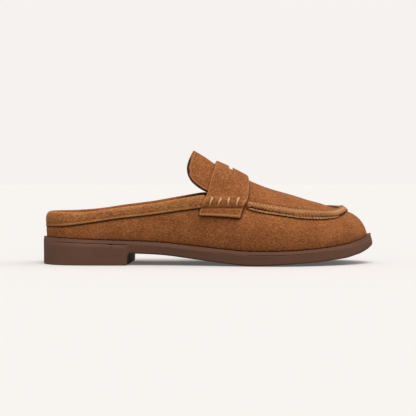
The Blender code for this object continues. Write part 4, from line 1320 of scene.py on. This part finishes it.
def make_whips(name, side):
    """Four stitches as one mesh, from curves with a round bevel."""
    curve = bpy.data.curves.new(name, "CURVE")
    curve.dimensions = "3D"
    curve.bevel_depth = WHIP_RADIUS
    curve.bevel_resolution = WHIP_ROUNDNESS
    curve.use_fill_caps = True
    for top, bottom in whips:
        points = whip_points(top, bottom, side)
        spline = curve.splines.new("POLY")
        spline.points.add(len(points) - 1)
        for k, (spot, point) in enumerate(zip(spline.points, points)):
            spot.co = (*point, 1.0)
            spot.radius = np.interp(k / WHIP_STEPS, WHIP_SHARES, WHIP_THICKNESS)
    drawn = bpy.data.objects.new(name + "_line", curve)
    bpy.context.scene.collection.objects.link(drawn)
    seen = drawn.evaluated_get(bpy.context.evaluated_depsgraph_get())
    bm = bmesh.new()
    bm.from_mesh(bpy.data.meshes.new_from_object(seen))
    bpy.data.objects.remove(drawn)
    return add_piece(name, bm, [cream_thread], "strap")


strap_skin = skin_of(strap)
for name, side in (("whip_stitches_outer", -1), ("whip_stitches_inner", 1)):
    whipped = make_whips(name, side)
    print(name, "has", len(whipped.data.polygons), "faces")

# %% [markdown]
# Where one piece ends on another, shade falls on the upper, and it is painted in as dark lines.
# The distance from the upper to the welt, the binding, the roll and the strap gives those lines,
# and a broad, faint band of painted shade rises over the welt. Each has its own reach and its own
# power, which makes it hard or soft.

# %% Crevices of the upper
CONTACT = 0.35 * MM
NEAR_WELT = 1.5 * MM
ABOVE_WELT = 6.0 * MM
ABOVE_WELT_SHARE = 0.28
NEAR_OVERLAY = 1.7 * MM
LOST_AT_LIP_END = 0.75
ABOVE_ROLL = 0.35

upper_places = points_of(upper.data)
shade_and_dark_edges = np.zeros(len(upper_places))
for item, reach, power in (
    (welt, NEAR_WELT, 1.3),
    (band, NEAR_OVERLAY, 0.9),
    (roll, NEAR_OVERLAY, 0.9),
    (strap, NEAR_OVERLAY, 0.6),
):
    skin = skin_of(item)
    gaps = np.array([skin.find_nearest(vert.co)[3] for vert in upper.data.vertices])
    if item is roll:
        to_end = np.clip((upper_places[:, 0] - LIP_FADES) / (LIP_ENDS - LIP_FADES), 0, 1)
        _, beside = along_rail(upper_places, roll_middle)
        fading = 1 - LOST_AT_LIP_END * to_end
        fading *= np.where(upper_places[:, 2] > roll_middle[beside, 2], ABOVE_ROLL, 1.0)
        gaps = reach - (reach - gaps) * fading
    # Painted shade along each junction
    shade_and_dark_edges = np.maximum(shade_and_dark_edges, np.clip((reach - gaps) / (reach - CONTACT), 0, 1) ** power)
    if item is welt:
        shade_and_dark_edges = np.maximum(shade_and_dark_edges, ABOVE_WELT_SHARE * np.clip(1 - gaps / ABOVE_WELT, 0, 1))
mark(upper, "shade_and_dark_edges", shade_and_dark_edges)
print("upper vertices in a crevice:", int((shade_and_dark_edges > 0).sum()))

# %% [markdown]
# The binding dives under the strap, so it gets painted shade there too. Its values of painted
# shade are read back, and the darker of the old and the new is kept.

# %% Crevice of the binding
NEAR_STRAP = 0.6

gaps = np.array([strap_skin.find_nearest(vert.co)[3] for vert in band.data.vertices])
layer = band.data.attributes["shade_and_dark_edges"]
shade_before = np.zeros(len(gaps), np.float32)
layer.data.foreach_get("value", shade_before)
near_strap = NEAR_STRAP * np.clip(1 - gaps / NEAR_OVERLAY, 0, 1)
layer.data.foreach_set("value", np.maximum(shade_before, near_strap).astype(np.float32))
print("binding vertices near the strap:", int((near_strap > 0).sum()))

# %% [markdown]
# At the back of the heel, where the binding's two ends meet, a plain bar tack in tan thread locks
# the seam: a row of upright stitches, close together.

# %% Heel bar tack
TACK_HALF = 9.0 * MM
TACK_PITCH = 0.6 * MM
TACK_UP = 0.9 * MM
TACK_SIZE = (2.7 * MM, 0.7 * MM, 0.4 * MM)

tack = bmesh.new()
line = evened(band_edge, TACK_PITCH, 0)
heel = line[:, 0].argmin()
reach = int(TACK_HALF / TACK_PITCH)
for place in line[heel - reach:heel + reach + 1]:
    spot, _, outward = on_binding(place, TACK_UP)
    if spot:
        add_grain(tack, spot, (0.0, 0.0, 1.0), outward, *TACK_SIZE)
heel_tack = add_piece("heel_bar_tack", tack, [tan_thread], "binding")
print("bar tack:", 2 * reach + 1, "stitches")

# %% [markdown]
# A plain pale floor of matt paper. The camera sees it paler than the shoe's underside does, so
# that little light comes back from below, and it glows a little, so that it meets the background
# in nearly the same tone.

# %% Floor
FLOOR_SIZE = 60.0
WARM_WHITE = (1.0, 0.985, 0.97, 1.0)
PAPER_TO_LIGHT = (0.36, 0.35, 0.34, 1.0)
PAPER_TO_CAMERA = (0.848, 0.817, 0.795, 1.0)
PAPER_GLOW = 0.10

floor_bm = bmesh.new()
bmesh.ops.create_grid(floor_bm, x_segments=1, y_segments=1, size=FLOOR_SIZE / 2)
floor_mesh = bpy.data.meshes.new("floor")
floor_bm.to_mesh(floor_mesh)
floor_bm.free()
floor = bpy.data.objects.new("floor", floor_mesh)
bpy.context.scene.collection.objects.link(floor)
paper, paper_tree, paper_shader = new_material("floor_paper")
paper_shader.inputs["Roughness"].default_value = 1.0
paper_shader.inputs["Specular IOR Level"].default_value = 0.0
paper_rays = node(paper_tree, "LightPath").outputs["Is Camera Ray"]
paper_tone = mix(paper_tree, paper_rays, PAPER_TO_LIGHT, PAPER_TO_CAMERA)
paper_tree.links.new(paper_tone, paper_shader.inputs["Base Color"])
paper_shader.inputs["Emission Color"].default_value = WARM_WHITE
glow = calc(paper_tree, "MULTIPLY", paper_rays, PAPER_GLOW)
paper_tree.links.new(glow, paper_shader.inputs["Emission Strength"])
floor.data.materials.append(paper)
print("floor:", FLOOR_SIZE, "m wide")

# %% [markdown]
# Soft light comes from all round: a bright sky, a broad sun from above the camera, and a weaker
# one from the toe's side. The world shows the camera a plain pale tone in place of the sky.

# %% Light
PALE = (0.922, 0.888, 0.863, 1.0)
SKY_STRENGTH = 0.42

world = bpy.data.worlds.new("studio")
world.use_nodes = True
bpy.context.scene.world = world
sky_tree = world.node_tree
sky = sky_tree.nodes["Background"]
sky.inputs["Color"].default_value = WARM_WHITE
sky.inputs["Strength"].default_value = SKY_STRENGTH
backdrop = node(sky_tree, "Background", {"Color": PALE, "Strength": 1.0})
rays = node(sky_tree, "LightPath")
chosen = node(sky_tree, "MixShader", {0: rays.outputs["Is Camera Ray"]})
sky_tree.links.new(sky.outputs[0], chosen.inputs[1])
sky_tree.links.new(backdrop.outputs[0], chosen.inputs[2])
sky_tree.links.new(chosen.outputs[0], sky_tree.nodes["World Output"].inputs["Surface"])

# Name, strength, softness in degrees, height over the horizon and turn from the camera's side
LAMPS = [
    ("key", 1.7, 40.0, 64.0, 12.0),
    ("front", 0.45, 50.0, 38.0, 95.0),
]
for name, strength, softness, height, turn in LAMPS:
    lamp = bpy.data.objects.new(name, bpy.data.lights.new(name, "SUN"))
    lamp.data.energy = strength
    lamp.data.angle = math.radians(softness)
    lamp.rotation_euler = (math.radians(90 - height), 0.0, math.radians(turn))
    bpy.context.scene.collection.objects.link(lamp)
bpy.context.scene.view_settings.view_transform = "Standard"
print("lamps:", [row[0] for row in LAMPS])
